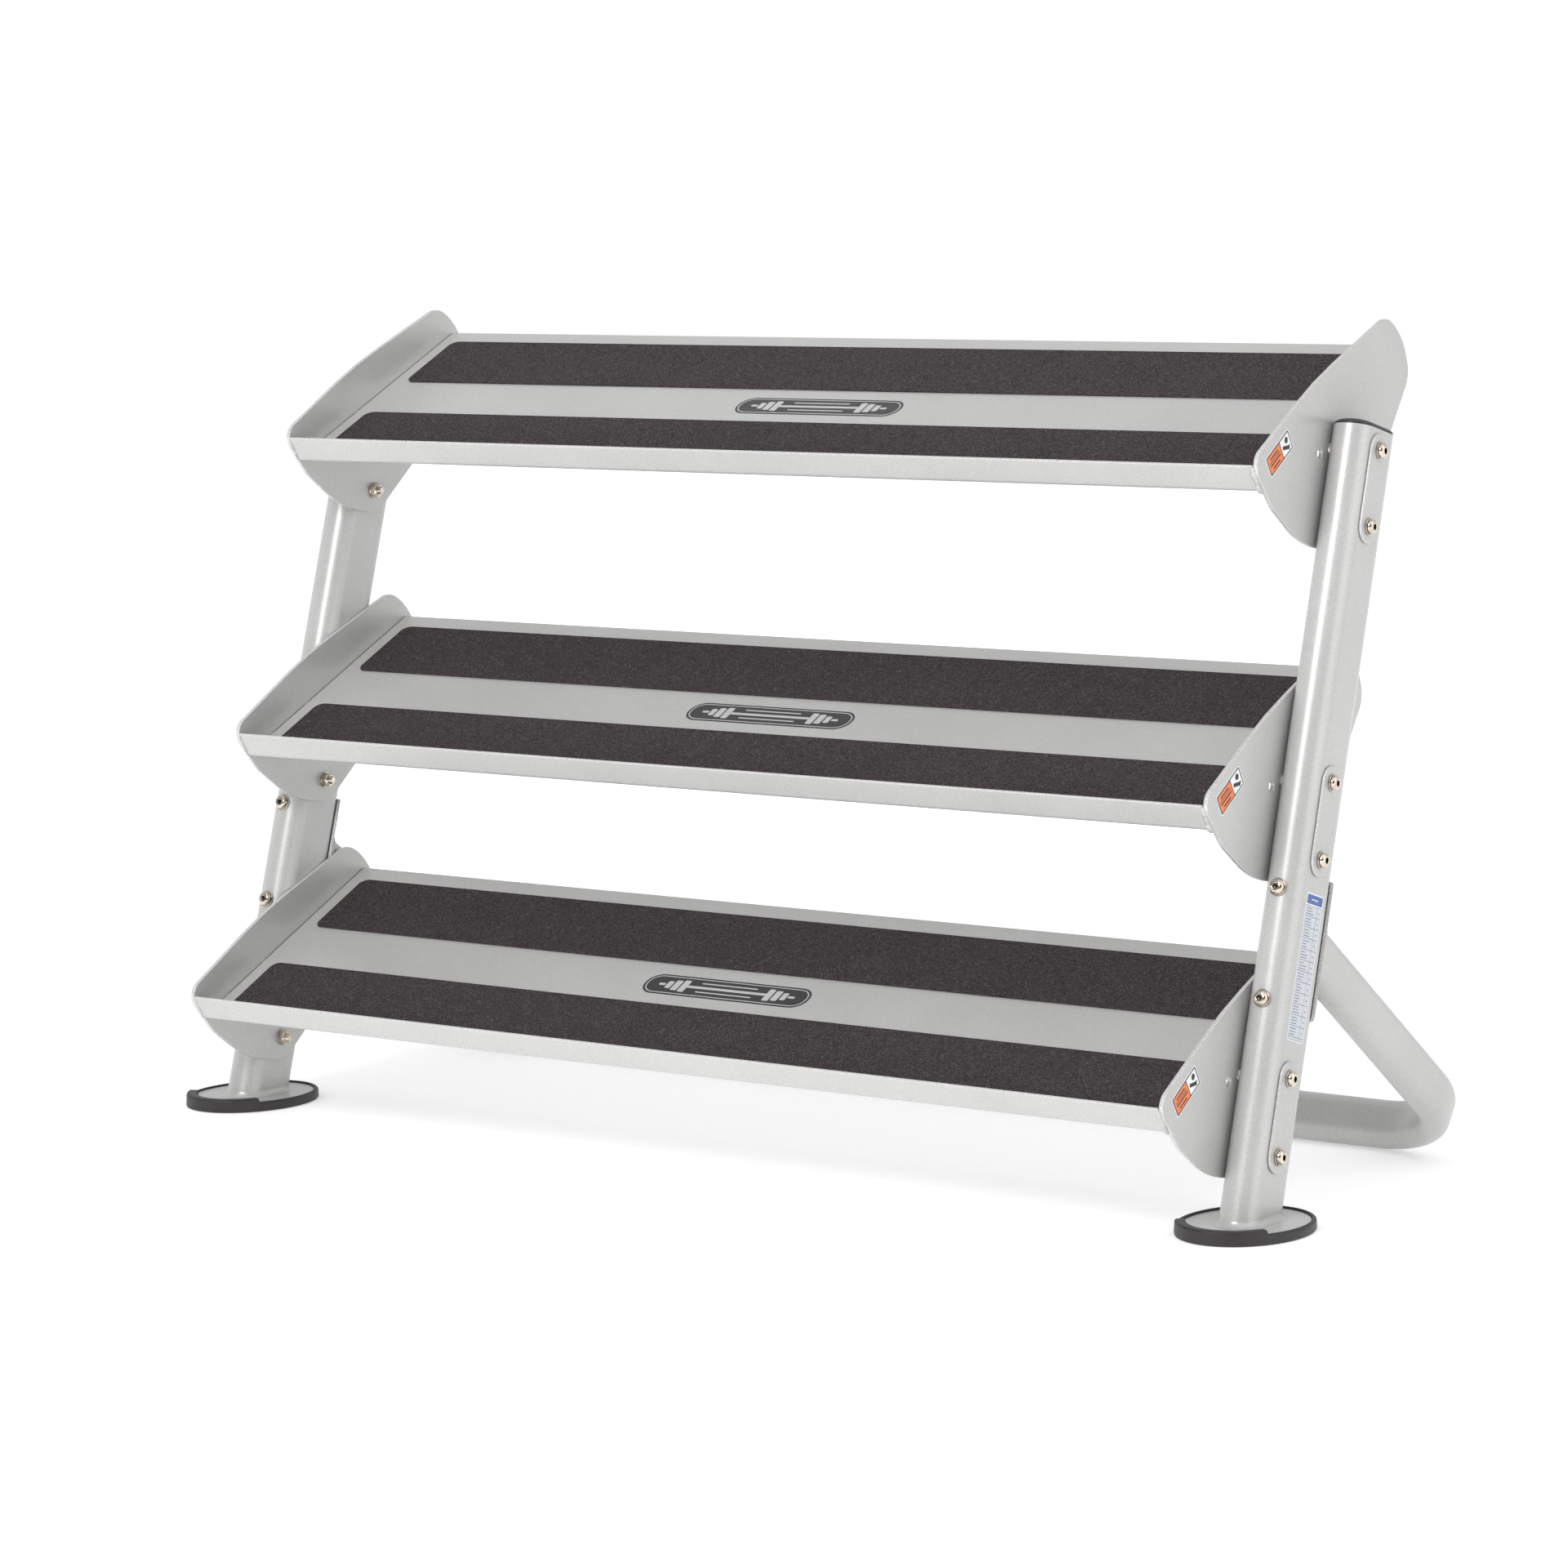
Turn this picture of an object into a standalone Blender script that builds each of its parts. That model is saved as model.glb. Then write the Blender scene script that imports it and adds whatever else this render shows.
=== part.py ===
"""Three-tier dumbbell rack, modelled as the separate pieces that it is bolted and welded from.

Units are metres, +Z is up and the front of the rack faces -Y. Pieces are laid out from the point
where the uprights' centre line meets the floor; at the end the whole rack is moved so that the
origin lies under the middle of its bounding box.
"""
import math

import bmesh
import bpy
from mathutils import Vector

# ---------------------------------------------------------------- driving dimensions
GAP = 0.0003                       # clearance left between pieces that touch
ARC_STEP = math.radians(15.0)      # largest turn of one facet on a rounded outline
CHORD_ERROR = 0.0004               # largest distance between a facet and its arc
FASTENER_SEGMENTS = 12
HOLE_SEGMENTS = 12

SIDES = {"left": -1, "right": 1}
TIERS = {"bottom": 0.0, "middle": 0.3308, "top": 0.7080}    # rise of each shelf along the uprights

SHELF_LENGTH = 1.372               # clear length between a shelf's two end plates
LEAN = math.radians(15.74)         # the uprights lean back by this much

# flat-oval upright tube: flat sides face left and right, rounded sides face front and back
UPRIGHT_WIDTH = 0.0477
UPRIGHT_DEPTH = 0.0893
UPRIGHT_TOP = 0.9024               # length of the centre line from the floor to the cut top
TOP_TILT = math.radians(3.0)       # the cut is this much flatter than square
UPRIGHT_WALL = 0.003
CAP_PLUG = 0.018
CAP_RIM = 0.0015
CAP_DOME = 0.0062
CAP_INSET = 0.0005

# end plate, bolted to the inner face of the upright; (y, z, corner radius) on the bottom shelf
PLATE_THICKNESS = 0.005
PLATE_CORNERS = (
    (-0.1120, 0.1060, 0.052),      # under the front corner
    (-0.0445, 0.0610, 0.165),      # wide bowl under the shelf
    (0.0250, 0.0520, 0.042),       # lowest part, behind the bolts
    (0.1455, 0.1530, 0.300),       # gentle swell of the rear edge
    (0.2085, 0.2435, 0.030),       # rounded back, lower part
    (0.1940, 0.2895, 0.080),       # rounded back, upper part
    (0.1500, 0.3125, 0.033),       # highest point
    (-0.0150, 0.2430, 0.700),      # gentle swell of the top edge
    (-0.1580, 0.1580, 0.019),      # front corner
)
SPARE_HOLES = ((-0.0045, 0.1622), (0.0212, 0.1664))    # open holes in front of the upright
SPARE_HOLE_RADIUS = 0.0056

# bent sheet tray, measured along its slope (u) and square to it (v) from a point over the uprights
SHELF_SLOPE = math.radians(26.2)
SHELF_DATUM_Z = 0.1905
SHEET = 0.003
TRAY_FRONT = -0.1462
TRAY_REAR = 0.2052
LIP_HEIGHT = 0.0321
LIP_OPENING = math.radians(7.0)    # the lip stands this much wider than square
REAR_FLANGE = 0.020
BEND_INSIDE = 0.003

MAT_SPANS = {"front": (-0.1288, -0.0202), "rear": (0.0631, 0.1740)}
MAT_THICKNESS = 0.0015
MAT_END_MARGIN = 0.0212
MAT_CORNER = 0.012

# shelf bolts run through strap, upright and end plate
BOLT_RISES = {"lower": 0.0828, "upper": 0.1696}
BOLT_FORWARD = 0.006               # the bolt row sits this far ahead of the tube's centre line
STRAP_WIDTH = 0.038
STRAP_THICKNESS = 0.003
SHANK_RADIUS = 0.005
BOLT_HOLE_RADIUS = 0.0055
WASHER_RADIUS = 0.010
WASHER_THICKNESS = 0.002
HEAD_RADIUS = 0.00875
HEAD_HEIGHT = 0.0055
SOCKET_APOTHEM = 0.003
SOCKET_DEPTH = 0.003
NUT_APOTHEM = 0.0085
NUT_HEIGHT = 0.008
THREAD_CLEARANCE = 0.0003
BOLT_TIP = 0.0035                  # thread that stands out of the nut

# rear frame: one bent flat-oval tube, welded to a curved saddle plate behind each upright
SADDLE_RISE = 0.3130
SADDLE_BELOW = 0.0743
SADDLE_ABOVE = 0.0835
SADDLE_THICKNESS = 0.004
SADDLE_WRAP = math.radians(57.0)
SCREW_OFFSETS = {"lower": -0.062, "upper": 0.062}      # frame screws from the saddle's middle
LEG_RISE = 0.3172                  # where the leg's centre line meets the saddle
WELD_NUT_HEIGHT = 0.008
REAR_TUBE_WIDTH = 0.038
REAR_TUBE_DEPTH = 0.060
REAR_TUBE_WALL = 0.003
REAR_SLOPE = math.radians(34.2)    # the legs run down and back at this angle
REAR_BEND = 0.110
COPE_GAP = 0.0006                  # the tube's hollowed end stands off the faceted saddle

# feet: an elliptical plate welded under each upright, in a rubber boot
FOOT_FORWARD = 0.0062              # the foot's centre sits this far ahead of the upright's axis
FOOT_HALF_X = 0.0716
FOOT_HALF_Y = 0.0966
BOOT_BASE = 0.0035
BOOT_WALL = 0.0055
BOOT_HEIGHT = 0.0120
TOE_HEIGHT = 0.0165
TOE_OVERLAP = 0.007
TOE_START = -0.055                 # the raised toe covers the foot ahead of this line
FOOT_PLATE_THICKNESS = 0.006
FOOT_SEGMENTS = 40

# ---------------------------------------------------------------- derived positions
PLATE_X = SHELF_LENGTH / 2
UPRIGHT_X = PLATE_X + PLATE_THICKNESS + GAP + UPRIGHT_WIDTH / 2
STRAP_X = UPRIGHT_X + UPRIGHT_WIDTH / 2 + GAP
BOLT_SEAT_X = STRAP_X + STRAP_THICKNESS + GAP
NUT_SEAT_X = PLATE_X - GAP
NUT_STACK = WASHER_THICKNESS + NUT_HEIGHT
ROUND_CENTRE = (UPRIGHT_DEPTH - UPRIGHT_WIDTH) / 2       # centre of the tube's rounded sides
SADDLE_INSIDE = UPRIGHT_WIDTH / 2 + GAP
SADDLE_OUTSIDE = SADDLE_INSIDE + SADDLE_THICKNESS
FOOT_PLATE_BOTTOM = BOOT_BASE + GAP
FOOT_PLATE_TOP = FOOT_PLATE_BOTTOM + FOOT_PLATE_THICKNESS


def material(name, colour, roughness, metallic):
    """A plain Principled material."""
    made = bpy.data.materials.new(name)
    made.use_nodes = True
    shader = made.node_tree.nodes["Principled BSDF"]
    shader.inputs["Base Color"].default_value = (*colour, 1.0)
    shader.inputs["Roughness"].default_value = roughness
    shader.inputs["Metallic"].default_value = metallic
    return made


# ---------------------------------------------------------------- outlines
def arc_points(start, end, centre, radius):
    """Points on an arc from angle start to angle end, within ARC_STEP and CHORD_ERROR."""
    step = min(ARC_STEP, math.sqrt(8 * CHORD_ERROR / radius))
    count = max(1, math.ceil(abs(end - start) / step))
    angles = [start + (end - start) * i / count for i in range(count + 1)]
    return [(centre[0] + radius * math.cos(a), centre[1] + radius * math.sin(a)) for a in angles]


def rounded_outline(corners):
    """A closed outline through (a, b, radius) corners, each rounded to its radius."""
    outline = []
    for i, (a, b, radius) in enumerate(corners):
        corner = Vector((a, b))
        if radius == 0.0:
            outline.append((a, b))
            continue
        to_last = (Vector(corners[i - 1][:2]) - corner).normalized()
        to_next = (Vector(corners[(i + 1) % len(corners)][:2]) - corner).normalized()
        half_angle = to_last.angle(to_next) / 2
        centre = corner + (to_last + to_next).normalized() * (radius / math.sin(half_angle))
        reach = radius / math.tan(half_angle)
        first = corner + to_last * reach - centre
        last = corner + to_next * reach - centre
        start = math.atan2(first.y, first.x)
        turn = math.atan2(first.cross(last), first.dot(last))
        outline += arc_points(start, start + turn, centre, radius)
    return outline


def circle(centre, radius, segments=HOLE_SEGMENTS):
    """A closed round outline."""
    turns = [2 * math.pi * i / segments for i in range(segments)]
    return [(centre[0] + radius * math.cos(t), centre[1] + radius * math.sin(t)) for t in turns]


def ellipse(half_x, half_y, segments=FOOT_SEGMENTS):
    """A closed elliptical outline about the origin."""
    turns = [2 * math.pi * i / segments for i in range(segments)]
    return [(half_x * math.cos(t), half_y * math.sin(t)) for t in turns]


def flat_oval(width, depth):
    """Section of a flat-oval tube: straight sides at +-width/2, round ends towards +-y."""
    radius = width / 2
    centre = (depth - width) / 2
    back = arc_points(0, math.pi, (0, centre), radius)
    return back + [(-x, -y) for x, y in back]


# ---------------------------------------------------------------- solids
def finish(bm, name):
    """Turn a bmesh into a mesh with outward faces, smooth except at its edges."""
    bmesh.ops.recalc_face_normals(bm, faces=bm.faces)
    mesh = bpy.data.meshes.new(name)
    bm.to_mesh(mesh)
    bm.free()
    mesh.shade_smooth()
    mesh.set_sharp_from_angle(angle=math.radians(35))
    return mesh


def bridge(bm, ring, following):
    """Quads between two rings of equal length."""
    count = len(ring)
    for i in range(count):
        j = (i + 1) % count
        bm.faces.new((ring[i], ring[j], following[j], following[i]))


def loft(name, rings, closed=False):
    """A solid through rings of 3-D points: capped at both ends, or joined end to start."""
    bm = bmesh.new()
    loops = [[bm.verts.new(point) for point in ring] for ring in rings]
    for ring, following in zip(loops, loops[1:]):
        bridge(bm, ring, following)
    if closed:
        bridge(bm, loops[-1], loops[0])
    else:
        bm.faces.new(loops[0])
        bm.faces.new(loops[-1])
    return finish(bm, name)


def tube(name, outer_rings, inner_rings):
    """A hollow solid between two families of rings, open at both ends."""
    return loft(name, outer_rings + inner_rings[::-1], closed=True)


def slab(name, outline, low, high, to_3d, holes=()):
    """A flat plate between two heights, with holes; to_3d places an outline point at a height."""
    bm = bmesh.new()
    sides = []
    for height in (low, high):
        loops = [[bm.verts.new(to_3d(a, b, height)) for a, b in loop] for loop in (outline, *holes)]
        edges = [bm.edges.new((loop[i], loop[i - 1])) for loop in loops for i in range(len(loop))]
        bmesh.ops.triangle_fill(bm, use_beauty=True, use_dissolve=False, edges=edges)
        sides.append(loops)
    for lower, upper in zip(*sides):
        bridge(bm, lower, upper)
    return finish(bm, name)


def prisms(name, outlines, low, high, to_3d):
    """Several separate prisms in one mesh, for use as a cutting or welding tool."""
    bm = bmesh.new()
    for outline in outlines:
        ends = [[bm.verts.new(to_3d(a, b, height)) for a, b in outline] for height in (low, high)]
        bridge(bm, *ends)
        bm.faces.new(ends[0])
        bm.faces.new(ends[1])
    return finish(bm, name)


def across(a, b, height):
    """Outline in the y-z plane, thickness along x."""
    return (height, a, b)


def backwards(a, b, height):
    """Outline in the x-z plane, thickness along y."""
    return (a, height, b)


def upwards(a, b, height):
    """Outline in the x-y plane, thickness along z."""
    return (a, b, height)


def turned(name, profile, closed=False):
    """A turned solid about z; a profile entry (radius, z, True) is a hexagon of that apothem."""
    rings = []
    for radius, height, is_hex in profile:
        ring = []
        for i in range(FASTENER_SEGMENTS):
            angle = 2 * math.pi * i / FASTENER_SEGMENTS
            off_flat = (angle + math.pi / 6) % (math.pi / 3) - math.pi / 6
            reach = radius / math.cos(off_flat) if is_hex else radius
            ring.append((reach * math.cos(angle), reach * math.sin(angle), height))
        rings.append(ring)
    return loft(name, rings, closed)


# ---------------------------------------------------------------- objects
def add(name, mesh, finish_material, location=(0, 0, 0), rotation=(0, 0, 0)):
    """One named piece of the rack, under the rack's empty."""
    piece = bpy.data.objects.new(name, mesh)
    bpy.context.collection.objects.link(piece)
    piece.location = location
    piece.rotation_euler = rotation
    piece.parent = rack
    if not mesh.materials:
        mesh.materials.append(finish_material)
    return piece


def cut(piece, name, mesh, operation="DIFFERENCE"):
    """Cut a solid out of a piece, or weld it on; the tool follows the piece's placement."""
    tool = bpy.data.objects.new(name, mesh)
    bpy.context.collection.objects.link(tool)
    tool.parent = rack
    tool.location = piece.location
    tool.rotation_euler = piece.rotation_euler
    tool.display_type = "WIRE"
    tool.hide_render = True
    modifier = piece.modifiers.new(name, "BOOLEAN")
    modifier.operation = operation
    modifier.solver = "EXACT"
    modifier.object = tool


def on_upright(rise, back=0.0):
    """(y, z) of a point at a rise up the upright's centre line and a distance behind it."""
    y = rise * math.sin(LEAN) + back * math.cos(LEAN)
    z = rise * math.cos(LEAN) - back * math.sin(LEAN)
    return y, z


def on_shelf(u, v):
    """(y, z) of a point along the bottom shelf's slope (u) and square to it (v)."""
    y = u * math.cos(SHELF_SLOPE) - v * math.sin(SHELF_SLOPE)
    z = SHELF_DATUM_Z + u * math.sin(SHELF_SLOPE) + v * math.cos(SHELF_SLOPE)
    return y, z


def tier_shift(tier):
    """Offset of a tier's pieces from the bottom tier's."""
    y, z = on_upright(TIERS[tier])
    return Vector((0, y, z))


# ---------------------------------------------------------------- uprights and feet
def upright_mesh():
    """Leaning tube: cut almost square at the top and level just above the foot plate."""
    rings = []
    for inset in (0.0, UPRIGHT_WALL):
        section = flat_oval(UPRIGHT_WIDTH - 2 * inset, UPRIGHT_DEPTH - 2 * inset)
        level = FOOT_PLATE_TOP + GAP
        foot = [(x, y, (level + y * math.sin(LEAN)) / math.cos(LEAN)) for x, y in section]
        top = [(x, y, UPRIGHT_TOP + y * math.tan(TOP_TILT)) for x, y in section]
        rings.append([foot, top])
    return tube("upright", *rings)


def cross_drill_mesh():
    """Drill for every shelf bolt hole through the upright's two flat sides."""
    rises = [tier_rise + bolt_rise for tier_rise in TIERS.values() for bolt_rise in BOLT_RISES.values()]
    holes = [circle((-BOLT_FORWARD, rise), BOLT_HOLE_RADIUS) for rise in rises]
    return prisms("cross_drill", holes, -UPRIGHT_WIDTH, UPRIGHT_WIDTH, across)


def frame_drill_mesh(front, back):
    """Drill for the two frame screw holes, from front to back of the upright."""
    rises = [SADDLE_RISE + offset for offset in SCREW_OFFSETS.values()]
    holes = [circle((0, rise), BOLT_HOLE_RADIUS) for rise in rises]
    return prisms("frame_drill", holes, front, back, backwards)


def cap_mesh():
    """Domed end cap: a plug inside the tube, a thin rim and a low dome."""
    plug_inset = UPRIGHT_WALL + 2 * GAP
    seat = UPRIGHT_TOP + GAP
    levels = [(plug_inset, UPRIGHT_TOP - CAP_PLUG), (plug_inset, seat), (CAP_INSET, seat)]
    for degrees in (0, 15, 30, 45, 60, 75):
        angle = math.radians(degrees)
        inset = CAP_INSET + (UPRIGHT_WIDTH / 2 - CAP_INSET) * (1 - math.cos(angle))
        levels.append((inset, seat + CAP_RIM + CAP_DOME * math.sin(angle)))
    rings = []
    for inset, height in levels:
        section = flat_oval(UPRIGHT_WIDTH - 2 * inset, UPRIGHT_DEPTH - 2 * inset)
        rings.append([(x, y, height + y * math.tan(TOP_TILT)) for x, y in section])
    return loft("upright_cap", rings)


def elliptical(name, inset, low, high):
    """An elliptical disc, inset from the foot's outline."""
    return slab(name, ellipse(FOOT_HALF_X - inset, FOOT_HALF_Y - inset), low, high, upwards)


def rear_pocket_mesh():
    """Room above the foot plate behind the toe: the plate's ellipse, cut off at the toe line."""
    outline = ellipse(FOOT_HALF_X - BOOT_WALL, FOOT_HALF_Y - BOOT_WALL)
    kept = [(x, max(y, TOE_START)) for x, y in outline if y > TOE_START - 0.004]
    return slab("rear_pocket", kept, FOOT_PLATE_BOTTOM, 2 * TOE_HEIGHT, upwards)


def rim_trim_mesh():
    """Block that lowers the boot's rim behind the toe."""
    reach = 2 * FOOT_HALF_Y
    block = [(-reach, TOE_START), (reach, TOE_START), (reach, reach), (-reach, reach)]
    return slab("rim_trim", block, BOOT_HEIGHT, 2 * TOE_HEIGHT, upwards)


def build_uprights():
    """Both uprights with their caps, foot plates and boots."""
    tube_mesh = upright_mesh()
    dome_mesh = cap_mesh()
    plate_mesh = elliptical("foot_plate", BOOT_WALL + GAP, FOOT_PLATE_BOTTOM, FOOT_PLATE_TOP)
    boot_mesh = elliptical("foot_boot", 0.0, 0.0, TOE_HEIGHT)
    bolt_drill = cross_drill_mesh()
    screw_drill = frame_drill_mesh(-UPRIGHT_DEPTH, UPRIGHT_DEPTH)
    pocket = elliptical("plate_pocket", BOOT_WALL, BOOT_BASE, FOOT_PLATE_TOP + GAP)
    throat = elliptical("toe_throat", BOOT_WALL + TOE_OVERLAP, FOOT_PLATE_BOTTOM, 2 * TOE_HEIGHT)
    rear_pocket = rear_pocket_mesh()
    rim_trim = rim_trim_mesh()
    for side, sign in SIDES.items():
        base = (sign * UPRIGHT_X, 0, 0)
        upright = add(f"upright_{side}", tube_mesh, silver, base, (-LEAN, 0, 0))
        cut(upright, f"bolt_drill_{side}", bolt_drill)
        cut(upright, f"screw_drill_{side}", screw_drill)
        add(f"upright_cap_{side}", dome_mesh, black_plastic, base, (-LEAN, 0, 0))
        foot = (sign * UPRIGHT_X, -FOOT_FORWARD, 0)
        add(f"foot_plate_{side}", plate_mesh, silver, foot)
        boot = add(f"foot_boot_{side}", boot_mesh, black_rubber, foot)
        cut(boot, f"plate_pocket_{side}", pocket)
        cut(boot, f"toe_throat_{side}", throat)
        cut(boot, f"rear_pocket_{side}", rear_pocket)
        cut(boot, f"rim_trim_{side}", rim_trim)


# ---------------------------------------------------------------- shelves
def bolt_holes_on_plate():
    """(y, z) of the bottom tier's two shelf bolts."""
    return [on_upright(rise, -BOLT_FORWARD) for rise in BOLT_RISES.values()]


def end_plate_mesh():
    """Leaf-shaped end plate with two bolt holes and two spare holes."""
    holes = [circle(centre, BOLT_HOLE_RADIUS) for centre in bolt_holes_on_plate()]
    holes += [circle(centre, SPARE_HOLE_RADIUS) for centre in SPARE_HOLES]
    outline = rounded_outline(PLATE_CORNERS)
    return slab("end_plate", outline, -PLATE_THICKNESS / 2, PLATE_THICKNESS / 2, across, holes)


def tray_mesh():
    """Sheet tray: a raised lip in front, a sloping bed and a down-turned flange behind."""
    lean = math.tan(LIP_OPENING)
    lip_step = Vector((math.cos(LIP_OPENING), math.sin(LIP_OPENING))) * SHEET
    lip_top = Vector((TRAY_FRONT - (LIP_HEIGHT + SHEET) * lean, LIP_HEIGHT))
    lip_root = TRAY_FRONT - SHEET * lean + SHEET / math.cos(LIP_OPENING)
    outside = BEND_INSIDE + SHEET
    corners = (
        (lip_top.x, lip_top.y, 0.0),
        (TRAY_FRONT, -SHEET, outside),
        (TRAY_REAR - SHEET, -SHEET, BEND_INSIDE),
        (TRAY_REAR - SHEET, -REAR_FLANGE, 0.0),
        (TRAY_REAR, -REAR_FLANGE, 0.0),
        (TRAY_REAR, 0.0, outside),
        (lip_root, 0.0, BEND_INSIDE),
        (lip_top.x + lip_step.x, lip_top.y + lip_step.y, 0.0),
    )
    outline = [on_shelf(u, v) for u, v in rounded_outline(corners)]
    half = SHELF_LENGTH / 2 - GAP
    return slab("tray", outline, -half, half, across)


def mat_mesh(place):
    """Grip mat: a thin sheet with rounded corners, centred on its own middle."""
    low, high = MAT_SPANS[place]
    half_x = SHELF_LENGTH / 2 - MAT_END_MARGIN
    half_y = (high - low) / 2
    corners = [(x, y, MAT_CORNER) for x, y in
               ((-half_x, -half_y), (half_x, -half_y), (half_x, half_y), (-half_x, half_y))]
    return slab(f"mat_{place}", rounded_outline(corners), 0.0, MAT_THICKNESS, upwards)


def strap_mesh():
    """Strap plate outside the upright, with round ends about its two bolts."""
    low, high = sorted(BOLT_RISES.values())
    radius = STRAP_WIDTH / 2
    outline = arc_points(math.pi, 2 * math.pi, (-BOLT_FORWARD, low), radius)
    outline += arc_points(0, math.pi, (-BOLT_FORWARD, high), radius)
    holes = [circle((-BOLT_FORWARD, rise), BOLT_HOLE_RADIUS) for rise in (low, high)]
    return slab("strap", outline, -STRAP_THICKNESS / 2, STRAP_THICKNESS / 2, across, holes)


def build_shelves():
    """Three identical shelves, each a tray with two mats between two end plates and straps."""
    plate = end_plate_mesh()
    tray = tray_mesh()
    strap = strap_mesh()
    mats = {place: mat_mesh(place) for place in MAT_SPANS}
    for tier in TIERS:
        shift = tier_shift(tier)
        add(f"tray_{tier}", tray, silver, shift)
        for place, (low, high) in MAT_SPANS.items():
            y, z = on_shelf((low + high) / 2, GAP)
            add(f"mat_{place}_{tier}", mats[place], grip, shift + Vector((0, y, z)), (SHELF_SLOPE, 0, 0))
        for side, sign in SIDES.items():
            plate_x = sign * (PLATE_X + PLATE_THICKNESS / 2)
            add(f"end_plate_{tier}_{side}", plate, silver, shift + Vector((plate_x, 0, 0)))
            strap_x = sign * (STRAP_X + STRAP_THICKNESS / 2)
            add(f"strap_{tier}_{side}", strap, silver, shift + Vector((strap_x, 0, 0)), (-LEAN, 0, 0))


# ---------------------------------------------------------------- rear frame
def saddle_mesh():
    """Curved plate that hugs the back of the upright, in the upright's own axes."""
    centre = (0, ROUND_CENTRE)
    low = math.pi / 2 - SADDLE_WRAP
    high = math.pi / 2 + SADDLE_WRAP
    outline = arc_points(low, high, centre, SADDLE_INSIDE)
    outline += arc_points(high, low, centre, SADDLE_OUTSIDE)
    ends = (SADDLE_RISE - SADDLE_BELOW, SADDLE_RISE + SADDLE_ABOVE)
    return slab("saddle_plate", outline, *ends, upwards)


def weld_nut_mesh():
    """The two hexagonal nuts welded on the back of the saddle, rooted inside the plate."""
    root = ROUND_CENTRE + SADDLE_INSIDE + SADDLE_THICKNESS / 2
    tip = ROUND_CENTRE + SADDLE_OUTSIDE + WELD_NUT_HEIGHT
    reach = NUT_APOTHEM / math.cos(math.pi / 6)
    hexagons = [circle((0, SADDLE_RISE + offset), reach, 6) for offset in SCREW_OFFSETS.values()]
    return prisms("weld_nuts", hexagons, root, tip, backwards)


def rear_path():
    """Centre line of the rear tube: (point, sideways direction) from the right leg to the left."""
    down = Vector((0, math.cos(REAR_SLOPE), -math.sin(REAR_SLOPE)))
    out = Vector((1, 0, 0))
    top_y, top_z = on_upright(LEG_RISE, ROUND_CENTRE + SADDLE_OUTSIDE)
    top = Vector((UPRIGHT_X, top_y, top_z))
    floor_height = (REAR_TUBE_DEPTH - REAR_TUBE_WIDTH) / 2 * math.cos(REAR_SLOPE) + REAR_TUBE_WIDTH / 2
    leg = (top.z - floor_height) / math.sin(REAR_SLOPE)
    bend_centre = top + down * (leg - REAR_BEND) - out * REAR_BEND
    steps = math.ceil(math.pi / 2 / ARC_STEP)
    right = [(top, out)]
    for i in range(steps + 1):
        angle = math.pi / 2 * i / steps
        direction = out * math.cos(angle) + down * math.sin(angle)
        right.append((bend_centre + direction * REAR_BEND, direction))
    mirror = Vector((-1, 1, 1))
    left = [(point * mirror, direction * mirror) for point, direction in reversed(right)]
    return right + left, down


def cope(point, down):
    """Slide a point along the leg until it rests just off the curved saddle."""
    beside = abs(point.x) - UPRIGHT_X
    radius = SADDLE_OUTSIDE + COPE_GAP
    target = ROUND_CENTRE + math.sqrt(radius ** 2 - beside ** 2)
    back = point.y * math.cos(LEAN) - point.z * math.sin(LEAN)
    along = down.y * math.cos(LEAN) - down.z * math.sin(LEAN)
    return point + down * ((target - back) / along)


def rear_frame_mesh():
    """Hollow bent tube; its flat sides face outwards and its leg ends fit the saddles."""
    path, down = rear_path()
    square = Vector((0, math.sin(REAR_SLOPE), math.cos(REAR_SLOPE)))
    families = []
    for inset in (0.0, REAR_TUBE_WALL):
        section = flat_oval(REAR_TUBE_WIDTH - 2 * inset, REAR_TUBE_DEPTH - 2 * inset)
        rings = [[point + direction * a + square * b for a, b in section] for point, direction in path]
        rings[0] = [cope(point, down) for point in rings[0]]
        rings[-1] = [cope(point, down) for point in rings[-1]]
        families.append(rings)
    return tube("rear_frame", *families)


def build_rear_frame():
    """The rear tube and the two saddles that its legs are welded to."""
    add("rear_frame", rear_frame_mesh(), silver)
    saddle = saddle_mesh()
    nuts = weld_nut_mesh()
    drill = frame_drill_mesh(0, UPRIGHT_DEPTH)
    for side, sign in SIDES.items():
        plate = add(f"saddle_plate_{side}", saddle, silver, (sign * UPRIGHT_X, 0, 0), (-LEAN, 0, 0))
        cut(plate, f"weld_nuts_{side}", nuts, "UNION")
        cut(plate, f"saddle_drill_{side}", drill)


# ---------------------------------------------------------------- fasteners
def bolt_mesh(name, length):
    """Button-head bolt with its washer; the washer's underside is at z = 0, the shank below."""
    top = WASHER_THICKNESS + HEAD_HEIGHT
    profile = (
        (SHANK_RADIUS, -length, False),
        (SHANK_RADIUS, 0.0, False),
        (WASHER_RADIUS, 0.0, False),
        (WASHER_RADIUS, WASHER_THICKNESS, False),
        (HEAD_RADIUS, WASHER_THICKNESS, False),
        (HEAD_RADIUS * 0.88, WASHER_THICKNESS + HEAD_HEIGHT * 0.65, False),
        (HEAD_RADIUS * 0.52, top, False),
        (SOCKET_APOTHEM, top, True),
        (SOCKET_APOTHEM, top - SOCKET_DEPTH, True),
    )
    return turned(name, profile)


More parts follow.
